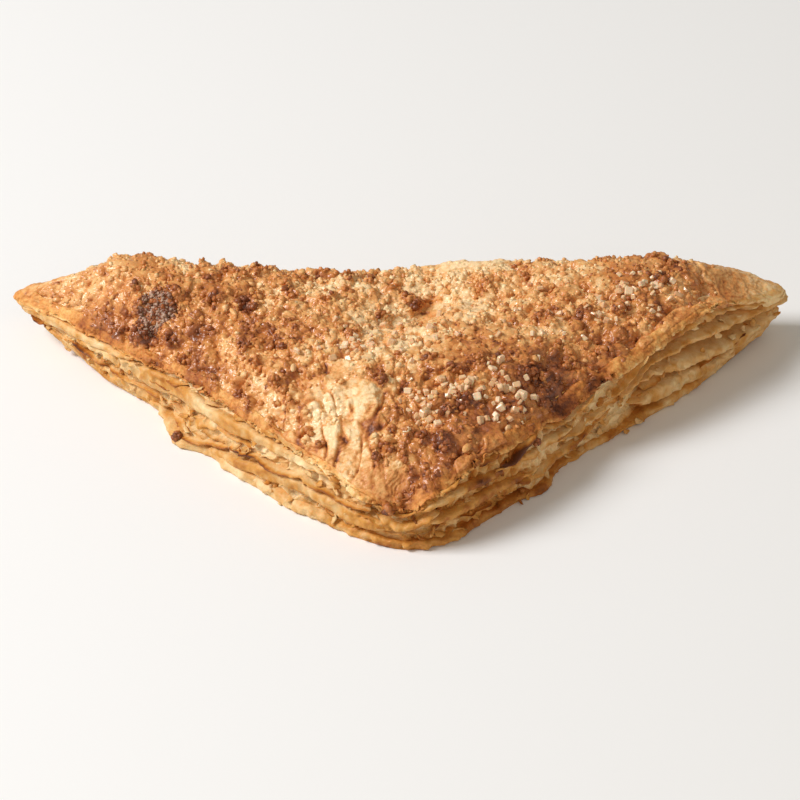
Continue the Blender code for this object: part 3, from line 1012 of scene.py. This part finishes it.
def build_core(material):
    """What shows between the leaves: pale dough with bubbles and thin skins."""
    columns, directions, runs = core_columns()
    bm = bmesh.new()
    bmesh.ops.create_grid(bm, x_segments=columns, y_segments=CORE_ROWS, size=0.5)
    mesh = new_mesh("layer_core", bm)
    places = coordinates(mesh)[:, :2] + 0.5
    column = places[:, 0] * columns
    degrees = np.interp(column, np.arange(columns + 1), directions)
    run = np.interp(column, np.arange(columns + 1), runs)
    run = np.where(column > columns - 0.5, 0.0, run)
    share = 0.03 + 0.93 * places[:, 1]
    fold, fan = fold_share(degrees), stationed(degrees, FAN)
    height = rim_height(degrees) * share
    flat = np.stack((run, height, np.zeros_like(run)), axis=-1)
    wander = sum(much * hills(flat / (long, high, 1.0), 1.0, seed) for much, long, high, seed in WANDERS)
    ledges = height * stationed(degrees, LEDGE_COUNT) + wander
    part = ledges - np.floor(ledges)
    lip = part ** 1.6 * (1.0 - between(part, 0.88, 1.0))
    still = np.zeros_like(run)
    number = np.stack((np.floor(ledges), still, still), axis=-1).astype(np.int64)
    strength = 0.35 + 0.65 * lattice(number, 23)
    pit = bubble_pits(flat, 0.32, 0.3)
    upper = between(share, 0.45, 0.62) * (0.35 + 0.65 * near(degrees, 205.0, 45.0))
    where = between(hills(flat / (9.0, 5.0, 1.0), 1.0, 9) + 0.5 * upper, -0.05, 0.35)
    where = where * (1.0 - fold) * (1.0 - 0.7 * fan)
    depth = CORE_RECESS + (FOLD_RECESS - CORE_RECESS) * fold + FAN_RECESS * fan
    depth = depth + LEDGE_DEPTH * (0.6 - lip) * strength * (1.0 - 0.8 * where) * (1.0 - fold)
    depth = depth + CELL_DEPTH * pit * where
    depth = depth + 0.30 * rough(flat, 1.8, 3, 13)
    tip = np.maximum(near(degrees, 160.0, 6.0), near(degrees, 381.0, 5.0))
    depth = depth * (1.0 - 0.3 * tip)
    brown = stationed(degrees, WALL_BROWN_AND_SHADE) + 0.45 * (lip - 0.45) * (1.0 - where)
    brown = brown + 0.20 * rough(flat, 5.0, 3, 15) - 0.16 * where * (1.0 - pit)
    points = wall_point(degrees, share) - outward(degrees) * depth[:, None]
    brown = brown + 0.45 * in_seam(points)
    store(mesh, "brown", np.clip(brown, 0.0, 1.0))
    move(mesh, points)
    face_outwards(mesh)
    finish_piece("layer_core", mesh, material, {})


LEAF_STEP, LEAF_ROWS, THICK_LEAF_ROWS = 0.30, 11, 22
LEAF_DEPTH, LEAF_FAN_DEPTH = 3.0, 3.5
# Toasting, then stations: direction, share of the wall's height, thickness, how far it stands out
LEAVES = (
    # under the left tip
    (0.08, ((158, 0.66, 1.6, 0.0), (162, 0.68, 3.0, 0.2), (168, 0.72, 3.2, 0.4), (175, 0.80, 1.6, 0.3),
            (181, 0.88, 0.5, 0.1))),
    (0.45, ((161, 0.46, 0.5, -0.4), (166, 0.42, 0.6, 0.2), (175, 0.37, 0.5, 0.4), (186, 0.34, 0.5, 0.2))),
    (0.15, ((161, 0.30, 1.0, -0.6), (168, 0.24, 2.4, 0.0), (178, 0.20, 3.0, 0.2), (187, 0.22, 1.0, 0.0))),
    # left leg, from the crust down
    (0.50, ((180, 0.58, 0.4, 0.2), (186, 0.64, 0.6, 0.4), (194, 0.80, 0.5, 0.4), (206, 0.92, 0.4, 0.3))),
    (0.20, ((196, 0.93, 0.5, 0.2), (215, 0.94, 0.6, 0.3), (240, 0.95, 0.5, 0.3), (256, 0.94, 0.5, 0.2))),
    (0.04, ((168, 0.60, 1.5, -0.4), (176, 0.64, 3.6, 0.0), (188, 0.68, 4.2, 0.2), (202, 0.72, 3.6, 0.3),
            (218, 0.78, 2.8, 0.3), (240, 0.85, 1.8, 0.1), (256, 0.88, 0.6, 0.0))),
    (0.55, ((184, 0.12, 0.5, 0.3), (192, 0.14, 0.6, 0.6), (201, 0.20, 0.6, 0.6), (210, 0.33, 0.6, 0.5),
            (221, 0.48, 0.6, 0.6), (240, 0.62, 0.6, 0.5), (252, 0.60, 0.5, 0.5), (264, 0.76, 0.5, 0.4))),
    (0.16, ((200, 0.10, 1.4, 0.3), (212, 0.20, 2.6, 0.3), (224, 0.33, 3.4, 0.3), (238, 0.46, 3.0, 0.3),
            (248, 0.42, 4.0, 0.3), (260, 0.44, 3.6, 0.3), (270, 0.56, 1.6, 0.2))),
    # front corner
    (0.35, ((258, 0.90, 0.5, 0.1), (270, 0.86, 0.7, 0.3), (280, 0.92, 0.5, 0.1))),
    (0.15, ((262, 0.66, 0.8, 0.2), (272, 0.66, 1.0, 0.4), (282, 0.62, 0.6, 0.2))),
    # right leg
    (0.15, ((272, 0.84, 0.6, 0.0), (281, 0.78, 2.0, 0.3), (291, 0.70, 2.2, 0.2), (304, 0.62, 1.2, 0.0))),
    (0.20, ((274, 0.52, 0.8, 0.1), (281, 0.50, 1.8, 0.4), (291, 0.44, 2.4, 0.4), (304, 0.40, 1.6, 0.3),
            (318, 0.38, 0.6, 0.1))),
    (0.30, ((276, 0.94, 0.5, 0.1), (290, 0.92, 0.5, 0.2), (304, 0.95, 0.5, 0.1))),
    (0.18, ((298, 0.72, 0.8, 0.0), (312, 0.64, 2.2, 0.3), (325, 0.66, 1.8, 0.2), (338, 0.70, 0.8, 0.1))),
    (0.28, ((304, 0.28, 0.6, 0.1), (318, 0.30, 1.2, 0.4), (334, 0.36, 1.4, 0.3), (347, 0.46, 0.8, 0.1))),
    (0.30, ((318, 0.88, 0.5, 0.1), (330, 0.86, 0.6, 0.2), (344, 0.84, 0.5, 0.0))),
    # the dark seam under the crust
    (0.60, ((299, 0.68, 0.6, 0.4), (304, 0.74, 1.4, 0.9), (310, 0.83, 1.8, 1.0), (315, 0.92, 1.4, 0.9),
            (319, 0.97, 0.6, 0.4))),
    (0.20, ((322, 0.52, 0.6, 0.1), (336, 0.56, 1.0, 0.2), (350, 0.62, 0.6, 0.0))),
    # the crimp, where skins run up to the right
    (0.10, ((342, 0.62, 0.5, 0.2), (348, 0.76, 0.7, 0.7), (353, 0.88, 0.8, 0.8), (358, 0.97, 0.6, 0.5))),
    (0.15, ((346, 0.56, 0.4, 0.1), (351, 0.68, 0.6, 0.5), (356, 0.80, 0.7, 0.5), (360, 0.88, 0.5, 0.2))),
    # the fan at the right tip
    (0.22, ((357, 0.92, 0.8, 0.2), (362, 0.90, 1.6, 0.4), (368, 0.88, 1.8, 0.3), (375, 0.88, 1.5, 0.2),
            (382, 0.86, 0.9, 0.1))),
    (0.16, ((354, 0.80, 0.5, -0.2), (361, 0.72, 1.4, 0.0), (367, 0.66, 2.2, 0.3), (373, 0.66, 2.6, 0.4),
            (378, 0.70, 2.0, 0.4), (384, 0.70, 1.0, 0.2))),
    (0.18, ((351, 0.62, 0.6, -0.1), (356, 0.61, 1.4, 0.2), (361, 0.52, 2.6, 0.4), (367, 0.37, 3.0, 0.6),
            (373, 0.27, 4.2, 0.5), (378, 0.34, 2.6, 0.3), (384, 0.40, 1.2, 0.1))),
    (0.10, ((350, 0.36, 1.6, 0.0), (356, 0.30, 3.6, 0.3), (361, 0.26, 4.4, 0.4), (367, 0.16, 2.8, 0.4),
            (373, 0.08, 1.0, 0.2))),
)
SKIN_COUNT, SKIN_THICKNESS = 18, 0.25
SKIN_LENGTH = (6.0, 22.0)
SMOOTH_LEAF = 1.6        # thickness from which a leaf's edge hardly wanders
# Height, size, seed
LEAF_RAGS = ((0.45, 5.0, 5), (0.35, 1.6, 6))
LEAF_CURLS = ((0.5, 7.0, 8), (0.35, 2.6, 9))


def skins():
    """Short thin leaves at chance places of the legs, as leaves with three stations each."""
    chance = np.random.default_rng(8)
    made = []
    for start in chance.uniform(0.0, 0.93, SKIN_COUNT) * LEG_LENGTH:
        length = chance.uniform(*SKIN_LENGTH)
        directions = leg_direction(start + length * np.array((0.0, 0.5, 1.0)))
        rise, slope, stand = chance.uniform((0.25, -0.08, -0.2), (0.93, 0.10, 0.4))
        shares = np.clip(rise + slope * np.array((-1.0, 0.0, 1.0)), 0.2, 0.95)
        stations = [(at, share, SKIN_THICKNESS, stand) for at, share in zip(directions, shares)]
        made.append((chance.uniform(0.05, 0.65), stations))
    return tuple(made)


def leaf_form(number, stations, run, around):
    """Points of one leaf's closed strip, and how near to its edge they are."""
    degrees = leg_direction(run)
    share, thick, stand = profiled(degrees, stations)
    line = np.stack((run, np.full_like(run, 37.0 * number), np.zeros_like(run)), axis=-1)
    thin = 1.0 - between(thick, 0.6, SMOOTH_LEAF)
    share = share + (0.012 + 0.022 * thin) * hills(line, 8.0, 1) + 0.018 * thin * hills(line, 3.0, 2)
    share = np.clip(share, 0.02, 0.985)
    length = run.max() - run.min()
    ends = between(np.minimum(run - run.min(), run.max() - run), 0.0, min(4.0, 0.3 * length))
    thick = thick * (0.85 + 0.3 * hills(line, 5.0, 3)) * (0.1 + 0.9 * ends)
    out = stand + 0.25 * hills(line, 9.0, 4) + thin * layered(line, LEAF_RAGS)
    out = out + (0.1 + 0.15 * thin) * hills(line, 0.8, 16)
    out = out - 1.0 * thin * between(hills(line, 4.0, 7), 0.4, 0.7) - 1.6 * (1.0 - ends)
    angle = math.pi * (1.0 + np.sign(around - 0.5) * np.abs(2.0 * around - 1.0) ** 1.5)
    reach = ((1.0 - np.cos(angle)) / 2.0) ** 0.5
    side = np.sign(np.sin(angle)) * np.abs(np.sin(angle)) ** 0.6
    curl = thin * layered(line, LEAF_CURLS) * reach ** 3
    depth = LEAF_DEPTH + LEAF_FAN_DEPTH * stationed(degrees, FAN)
    across = (depth + out) * reach - depth
    points = wall_point(degrees, share) + outward(degrees) * across[:, None]
    points[:, 2] += side * thick / 2.0 + curl
    right = 1.0 - near(degrees, 205.0, 70.0)
    ripple = (0.28 + 0.30 * right) * rough(points, 3.0, 4, 11)
    pit = bubble_pits(points, 0.35, 0.2)
    pitted = between(hills(points / (9.0, 9.0, 5.0), 1.0, 14), -0.1, 0.4) * (1.0 - thin)
    ripple = ripple + (0.3 - 0.9 * pit) * pitted
    points[:, 2] += 0.5 * ripple * reach * thin
    points += outward(degrees) * (ripple * reach)[:, None]
    return points, reach, pit * pitted


def build_leaves(material):
    bm = bmesh.new()
    leaf = bm.verts.layers.int.new("leaf")
    leaves = LEAVES + skins()
    spans = [np.interp((stations[0][0], stations[-1][0]), LEG_DEGREES, LEG_RUN) for _, stations in leaves]
    for number, (start, end) in enumerate(spans):
        columns = max(round((end - start) / LEAF_STEP), 12)
        thickest = max(thickness for _, _, thickness, _ in leaves[number][1])
        rows = THICK_LEAF_ROWS if thickest > SMOOTH_LEAF else LEAF_ROWS
        made = bmesh.ops.create_grid(bm, x_segments=columns, y_segments=rows, size=0.5)
        for vert in made["verts"]:
            vert[leaf] = number
    mesh = new_mesh("leaves", bm)
    places, numbers = coordinates(mesh), whole_numbers(mesh, "leaf")
    brown = np.zeros(len(places))
    for number, ((toast, stations), (start, end)) in enumerate(zip(leaves, spans)):
        own = numbers == number
        along, around = places[own, 0] + 0.5, places[own, 1] + 0.5
        run = start + (end - start) * along
        points, reach, pit = leaf_form(number, stations, run, around)
        toasted = toast * (0.8 + 0.7 * hills(points, 5.0, 21)) + 0.16 * hills(points, 1.4, 22)
        brown[own] = stationed(leg_direction(run), WALL_BROWN_AND_SHADE) + toasted * between(reach, 0.75, 1.0)
        brown[own] += 0.20 * rough(points, 5.0, 3, 23) - 0.10 * pit + 0.40 * in_seam(points)
        places[own] = points
    move(mesh, places)
    store(mesh, "brown", brown)
    face_outwards(mesh)
    finish_piece("leaves", mesh, material, {})


FLAKE_COUNT, FLAKE_SIZE, FLAKE_THICKNESS = 230, ((0.5, 0.3, 1.0), (1.5, 0.8, 1.0)), 0.10
# Loose flakes in places of their own: direction, share of the wall's height, outward
LOOSE_FLAKES = (
    (159, 0.2, -3), (161, 0.1, -2), (163, 0.05, -1), (164.5, 0.18, -0.2), (166, 0.02, 0.2),
    (234, 0.04, 0.1), (306, 0.06, 0.5), (309, 0.05, 0.6), (349, 0.04, 0.5), (352, 0.1, 0.4),
    (371, 0.3, 0.3), (374, 0.36, 0.4), (377, 0.4, 0.2),
)


def flake(bm):
    """A thin bent scale of dough."""
    bmesh.ops.create_circle(bm, cap_ends=True, radius=1.0, segments=7)
    bmesh.ops.inset_individual(bm, faces=bm.faces, thickness=0.4)
    for vert in bm.verts:
        vert.co.z = 0.35 * vert.co.x ** 2 - 0.2 * vert.co.y ** 2
    bmesh.ops.solidify(bm, geom=bm.faces, thickness=FLAKE_THICKNESS)
    bmesh.ops.recalc_face_normals(bm, faces=bm.faces)


def build_flakes(material):
    """Small scales that stand loose from the walls."""
    draw = np.random.default_rng(71)
    chance = leg_direction(draw.uniform(0.0, LEG_LENGTH, FLAKE_COUNT))
    loose = np.array(LOOSE_FLAKES)
    degrees = np.concatenate((chance, loose[:, 0]))
    share = np.concatenate((draw.uniform(0.08, 0.97, FLAKE_COUNT), loose[:, 1]))
    out = np.concatenate((draw.uniform(-0.9, 0.0, FLAKE_COUNT), loose[:, 2]))
    count = len(degrees)
    ways = outward(degrees) * draw.uniform(0.2, 1.0, (count, 1)) + (0.0, 0.0, 0.8)
    places = wall_point(degrees, share) + outward(degrees) * out[:, None]
    size = draw.uniform(*FLAKE_SIZE, (count, 3))
    brown = stationed(degrees, WALL_BROWN_AND_SHADE) + draw.uniform(-0.15, 0.35, count)
    scatter("loose_flakes", flake, places, frames(ways, 0.35, draw), size, 0.2,
            brown, material, draw, key="brown")


BASE_CUTS, BASE_ROWS = 180, 14
BASE_INSIDE = 3.0        # height of the base's hidden upper side in the middle
BASE_FOLD_INSET = 1.2
BASE_RAGS = ((0.5, 2.6, 31), (0.3, 9.0, 33))   # height, size, seed
# Share of the rows, share of the base's height, outward
BASE_RIM = (
    (0, 0, 0), (0.12, 0.04, 0.22), (0.3, 0.25, 0.5), (0.55, 0.75, 0.45), (0.7, 0.97, 0.05),
    (0.82, 1, -1.2), (1, 1, -4),
)
# Direction, how brown the base's edge is
BASE_BROWN = (
    (90, 0.35), (150, 0.3), (175, 0.35), (195, 0.42), (215, 0.25), (240, 0.3), (258, 0.5), (272, 0.62),
    (296, 0.72), (312, 0.66), (325, 0.48), (350, 0.48), (372, 0.34),
)
# Where the base's edge goes further out or in than the form: direction, spread, size
FOOT_CHANGES = ((190.5, 6, 2.3), (372, 8, -0.6), (352, 8, -0.8), (169, 6, -1.2))


def build_base(material):
    """The bottom sheet of dough: browned below, and the lowest leaf at the legs."""
    bm = triangle_sheet(BASE_CUTS)
    extrude_rows(bm, BASE_ROWS, BASE_INSIDE)
    mesh = new_mesh("base_sheet", bm)
    row = whole_numbers(mesh, "row")
    points = coordinates(mesh)
    degrees, distance = polar(points)
    inward = np.minimum(distance / sharp_outline(degrees), 1.0)
    fold = fold_share(degrees)
    reach = outline(degrees) - BASE_FOLD_INSET * fold + swelling(degrees, FOOT_CHANGES)
    share = np.maximum(row, 0) / BASE_ROWS
    up, out = profiled(share, BASE_RIM)
    up = up * stationed(degrees, BASE_TOP)
    out = np.where(out > 0.0, out * (1.0 - fold), out)
    radius = np.where(row > 0, reach - wall_inset(degrees, up), (reach - wall_inset(degrees, 0.0)) * inward)
    formed = placed(degrees, radius, np.where(row > 0, rim_height(degrees) * up, 0.0))
    ragged = layered(formed, BASE_RAGS) + 0.5 * rough(formed, 1.2, 3, 32)
    out = out + ragged * between(share, 0.05, 0.3) * (1.0 - fold)
    formed += outward(degrees) * out[:, None]
    pits = 0.30 * between(rough(formed, 5.0, 3, 35), 0.0, 0.9)
    pits = pits + 0.10 * between(hills(formed, 1.2, 36), 0.2, 1.0)
    formed[:, 2] += np.where(row == 0, pits, 0.0)
    formed[:, 2] += np.where(row > 0, 0.40 * rough(formed, 2.0, 3, 37) * between(share, 0.2, 0.5), 0.0)
    formed[row < 0] = points[row < 0]
    move(mesh, formed)
    face_outwards(mesh, weld=False)
    toast = 0.45 + 0.18 * rough(formed, 8.0, 3, 38)
    edge = stationed(degrees, BASE_BROWN) + 0.22 * rough(formed, 3.0, 3, 39)
    edge = edge + 0.10 * (1.0 - between(share, 0.0, 0.3))
    brown = np.where(row > 0, edge, toast)
    finish_piece("base_sheet", mesh, material, {"brown": np.clip(brown, 0.0, 1.0)})


# == Materials ==


def srgb(red, green, blue):
    """A colour as seen on a screen, 0 to 255, made linear."""
    parts = [value / 255.0 for value in (red, green, blue)]
    return tuple(p / 12.92 if p <= 0.04045 else ((p + 0.055) / 1.055) ** 2.4 for p in parts) + (1.0,)


class Wire:
    """One value in a material. Arithmetic on it adds the Math nodes."""

    def __init__(self, finish, socket):
        self.finish, self.socket = finish, socket

    def math(self, operation, *values):
        return self.finish.node("ShaderNodeMath", {"operation": operation}, dict(enumerate(values)))

    def __add__(self, other):
        return self.math("ADD", self, other)

    def __sub__(self, other):
        return self.math("SUBTRACT", self, other)

    def __rsub__(self, other):
        return self.math("SUBTRACT", other, self)

    def __mul__(self, other):
        return self.math("MULTIPLY", self, other)

    __radd__, __rmul__ = __add__, __mul__

    def clip(self):
        return self.finish.node("ShaderNodeClamp", {}, {0: self})

    def ramp(self, *stops):
        """A colour ramp of (place, colour) stops."""
        wire = self.finish.node("ShaderNodeValToRGB", {}, {0: self})
        elements = wire.socket.node.color_ramp.elements
        for place, colour in stops[1:-1]:
            elements.new(place).color = colour
        for element, (place, colour) in zip((elements[0], elements[-1]), (stops[0], stops[-1])):
            element.position, element.color = place, colour
        return wire


class Finish:
    """A material with one Principled shader, built from expressions."""

    def __init__(self, name, **constants):
        self.material = bpy.data.materials.new(name)
        self.material.use_nodes = True
        self.tree = self.material.node_tree
        self.shader = self.tree.nodes["Principled BSDF"]
        for key, value in constants.items():
            self.shader.inputs[key.replace("_", " ")].default_value = value

    def node(self, kind, settings=None, sockets=None, output=0):
        """Any node: its settings first, then its sockets' values or links, then which output."""
        made = self.tree.nodes.new(kind)
        for key, value in (settings or {}).items():
            setattr(made, key, value)
        for key, value in (sockets or {}).items():
            if isinstance(value, Wire):
                self.tree.links.new(value.socket, made.inputs[key])
            else:
                made.inputs[key].default_value = value
        return Wire(self, made.outputs[output])

    def attribute(self, name):
        return self.node("ShaderNodeAttribute", {"attribute_name": name}, output="Fac")

    def place(self):
        return self.node("ShaderNodeTexCoord", output="Object")

    def noise(self, scale, detail=3.0, roughness=0.55):
        """Noise from about 0 to 1; scale counts its hills in a metre."""
        sockets = {"Vector": self.place(), "Scale": scale, "Detail": detail, "Roughness": roughness}
        return self.node("ShaderNodeTexNoise", {}, sockets)

    def feed(self, key, wire):
        self.tree.links.new(wire.socket, self.shader.inputs[key])

    def bump(self, height, distance, strength=1.0):
        sockets = {"Height": height, "Distance": distance, "Strength": strength}
        self.feed("Normal", self.node("ShaderNodeBump", {}, sockets))


BROWNS = (
    (0.00, srgb(252, 216, 158)),
    (0.25, srgb(236, 178, 104)),
    (0.50, srgb(208, 134, 64)),
    (0.75, srgb(160, 88, 38)),
    (1.00, srgb(92, 44, 20)),
)


def crust_finish():
    finish = Finish("baked_crust", Specular_IOR_Level=0.3, Subsurface_Weight=0.12, Subsurface_Scale=0.0007)
    speckle = finish.noise(900.0, 4.0)
    fine = finish.noise(2600.0, 3.0)
    shade = finish.attribute("shade") + (speckle - 0.5) * 0.35 + (fine - 0.5) * 0.25
    finish.feed("Base Color", shade.clip().ramp(*BROWNS))
    finish.feed("Roughness", (0.55 + (fine - 0.5) * 0.3).clip())
    finish.bump(speckle * 0.6 + fine * 0.4, 0.0006, 0.6)
    return finish.material


CRUMB_BROWNS = (
    (0.00, srgb(254, 220, 170)),
    (0.25, srgb(237, 178, 112)),
    (0.50, srgb(210, 136, 70)),
    (0.75, srgb(166, 94, 46)),
    (1.00, srgb(110, 57, 30)),
)


def skin_finish():
    finish = Finish("sugared_crust", Specular_IOR_Level=0.35, Subsurface_Weight=0.08, Subsurface_Scale=0.0007,
                    Coat_Roughness=0.15)
    glaze = finish.attribute("glaze")
    speckle = finish.noise(1500.0, 3.0)
    fine = finish.noise(4000.0, 2.0)
    shade = finish.attribute("shade") + (speckle - 0.5) * 0.30 + (fine - 0.5) * 0.20
    finish.feed("Base Color", shade.clip().ramp(*CRUMB_BROWNS))
    finish.feed("Roughness", (0.58 - glaze * 0.30 + (fine - 0.5) * 0.5).clip())
    finish.feed("Coat Weight", glaze * 0.45)
    finish.bump(speckle * 0.6 + fine * 0.4, 0.0004, 0.6)
    return finish.material


FROSTED_BROWNS = CRUMB_BROWNS[:4] + (
    (0.88, srgb(108, 56, 32)),
    (0.93, srgb(146, 106, 84)),
    (1.00, srgb(200, 168, 144)),
)


def crumb_finish():
    finish = Finish("toasted_crumb", Subsurface_Weight=0.15, Subsurface_Scale=0.0008)
    tone = finish.attribute("tone")
    speckle = finish.noise(1800.0, 3.0)
    finish.feed("Base Color", (tone + (speckle - 0.5) * 0.35).clip().ramp(*FROSTED_BROWNS))
    finish.feed("Roughness", (0.42 + (speckle - 0.5) * 0.5).clip())
    finish.bump(speckle, 0.0004, 0.5)
    return finish.material


def sugar_finish():
    finish = Finish("coarse_sugar", Subsurface_Weight=0.25, Subsurface_Scale=0.0008, IOR=1.5)
    tone = finish.attribute("tone")
    speckle = finish.noise(1500.0, 2.0)
    finish.feed("Base Color", (tone * 0.8 + (speckle - 0.5) * 0.3).clip().ramp(
        (0.0, srgb(248, 217, 180)), (0.5, srgb(234, 194, 150)), (1.0, srgb(212, 163, 114))))
    finish.feed("Roughness", (0.20 + (speckle - 0.5) * 0.3).clip())
    return finish.material


LEAF_BROWNS = (
    (0.00, srgb(249, 222, 174)),
    (0.25, srgb(230, 190, 132)),
    (0.50, srgb(212, 150, 72)),
    (0.75, srgb(168, 98, 34)),
    (1.00, srgb(96, 48, 18)),
)


def leaf_finish():
    finish = Finish("flaky_leaf", Specular_IOR_Level=0.25, Subsurface_Weight=0.08, Subsurface_Scale=0.0007)
    brown = finish.attribute("brown")
    speckle = finish.noise(1100.0, 4.0)
    broad = finish.noise(260.0, 3.0)
    shade = brown + (speckle - 0.5) * 0.35 + (broad - 0.5) * 0.35 + 0.02
    finish.feed("Base Color", shade.clip().ramp(*LEAF_BROWNS))
    finish.feed("Roughness", (0.45 + (speckle - 0.5) * 0.3).clip())
    finish.bump(speckle, 0.0004, 0.6)
    return finish.material


# == Camera, light and floor ==

VIEW_RISE = 36.5         # degrees above the floor
VIEW_DISTANCE = 0.8      # metres, as the lights' places and sizes are
VIEW_TARGET = (-0.2, -2.0, 9.0)
LENS, SENSOR = 181.6, 36.0
# Name, place, size, watts, colour
LIGHTS = (
    ("key", (-0.90, -0.06, 0.86), 0.5, 15.4, (0.99, 0.99, 1.0)),
    ("fill", (0.45, -1.0, 0.8), 1.2, 2.8, (1.0, 0.87, 0.68)),
)
STUDIO_COLOUR, STUDIO_STRENGTH = (1.0, 0.95, 0.85, 1.0), 0.28
FLOOR_COLOUR, FLOOR_HALF = (0.9, 0.9, 0.9, 1.0), 3.0


def set_camera():
    target = Vector((np.array(VIEW_TARGET) + (SHIFT[0], SHIFT[1], 0.0)) * MM)
    rise = math.radians(VIEW_RISE)
    back = Vector((0.0, -math.cos(rise), math.sin(rise)))
    data = bpy.data.cameras.new("camera")
    data.lens, data.sensor_width = LENS, SENSOR
    camera = bpy.data.objects.new("camera", data)
    camera.location = target + back * VIEW_DISTANCE
    camera.rotation_euler = back.to_track_quat("Z", "Y").to_euler()
    bpy.context.scene.collection.objects.link(camera)
    bpy.context.scene.camera = camera


def add_light(name, place, size, watts, colour):
    """A soft square light that looks at the pastry."""
    data = bpy.data.lights.new(name, "AREA")
    data.size, data.energy, data.color = size, watts, colour
    light = bpy.data.objects.new(name, data)
    light.location = place
    light.rotation_euler = Vector(place).to_track_quat("Z", "Y").to_euler()
    bpy.context.scene.collection.objects.link(light)


def set_stage():
    bm = bmesh.new()
    bmesh.ops.create_grid(bm, x_segments=1, y_segments=1, size=FLOOR_HALF)
    mesh = new_mesh("floor", bm)
    floor = bpy.data.objects.new("floor", mesh)
    finish = Finish("floor_white", Roughness=0.9)
    finish.shader.inputs["Base Color"].default_value = FLOOR_COLOUR
    mesh.materials.append(finish.material)
    bpy.context.scene.collection.objects.link(floor)
    for light in LIGHTS:
        add_light(*light)
    world = bpy.data.worlds.new("studio")
    world.use_nodes = True
    sockets = world.node_tree.nodes["Background"].inputs
    sockets["Color"].default_value, sockets["Strength"].default_value = STUDIO_COLOUR, STUDIO_STRENGTH
    bpy.context.scene.world = world
    bpy.context.scene.view_settings.view_transform = "Standard"


set_camera()
set_stage()
build_top_crust(crust_finish())
TOP = build_skin(skin_finish())
CRUMB_FINISH = crumb_finish()
build_grains(TOP, CRUMB_FINISH)
build_crumbs(TOP, CRUMB_FINISH)
build_balls(TOP, CRUMB_FINISH)
build_slivers(TOP, CRUMB_FINISH)
build_sugar(TOP, sugar_finish())
LEAF_FINISH = leaf_finish()
build_core(LEAF_FINISH)
build_leaves(LEAF_FINISH)
build_flakes(LEAF_FINISH)
build_base(LEAF_FINISH)
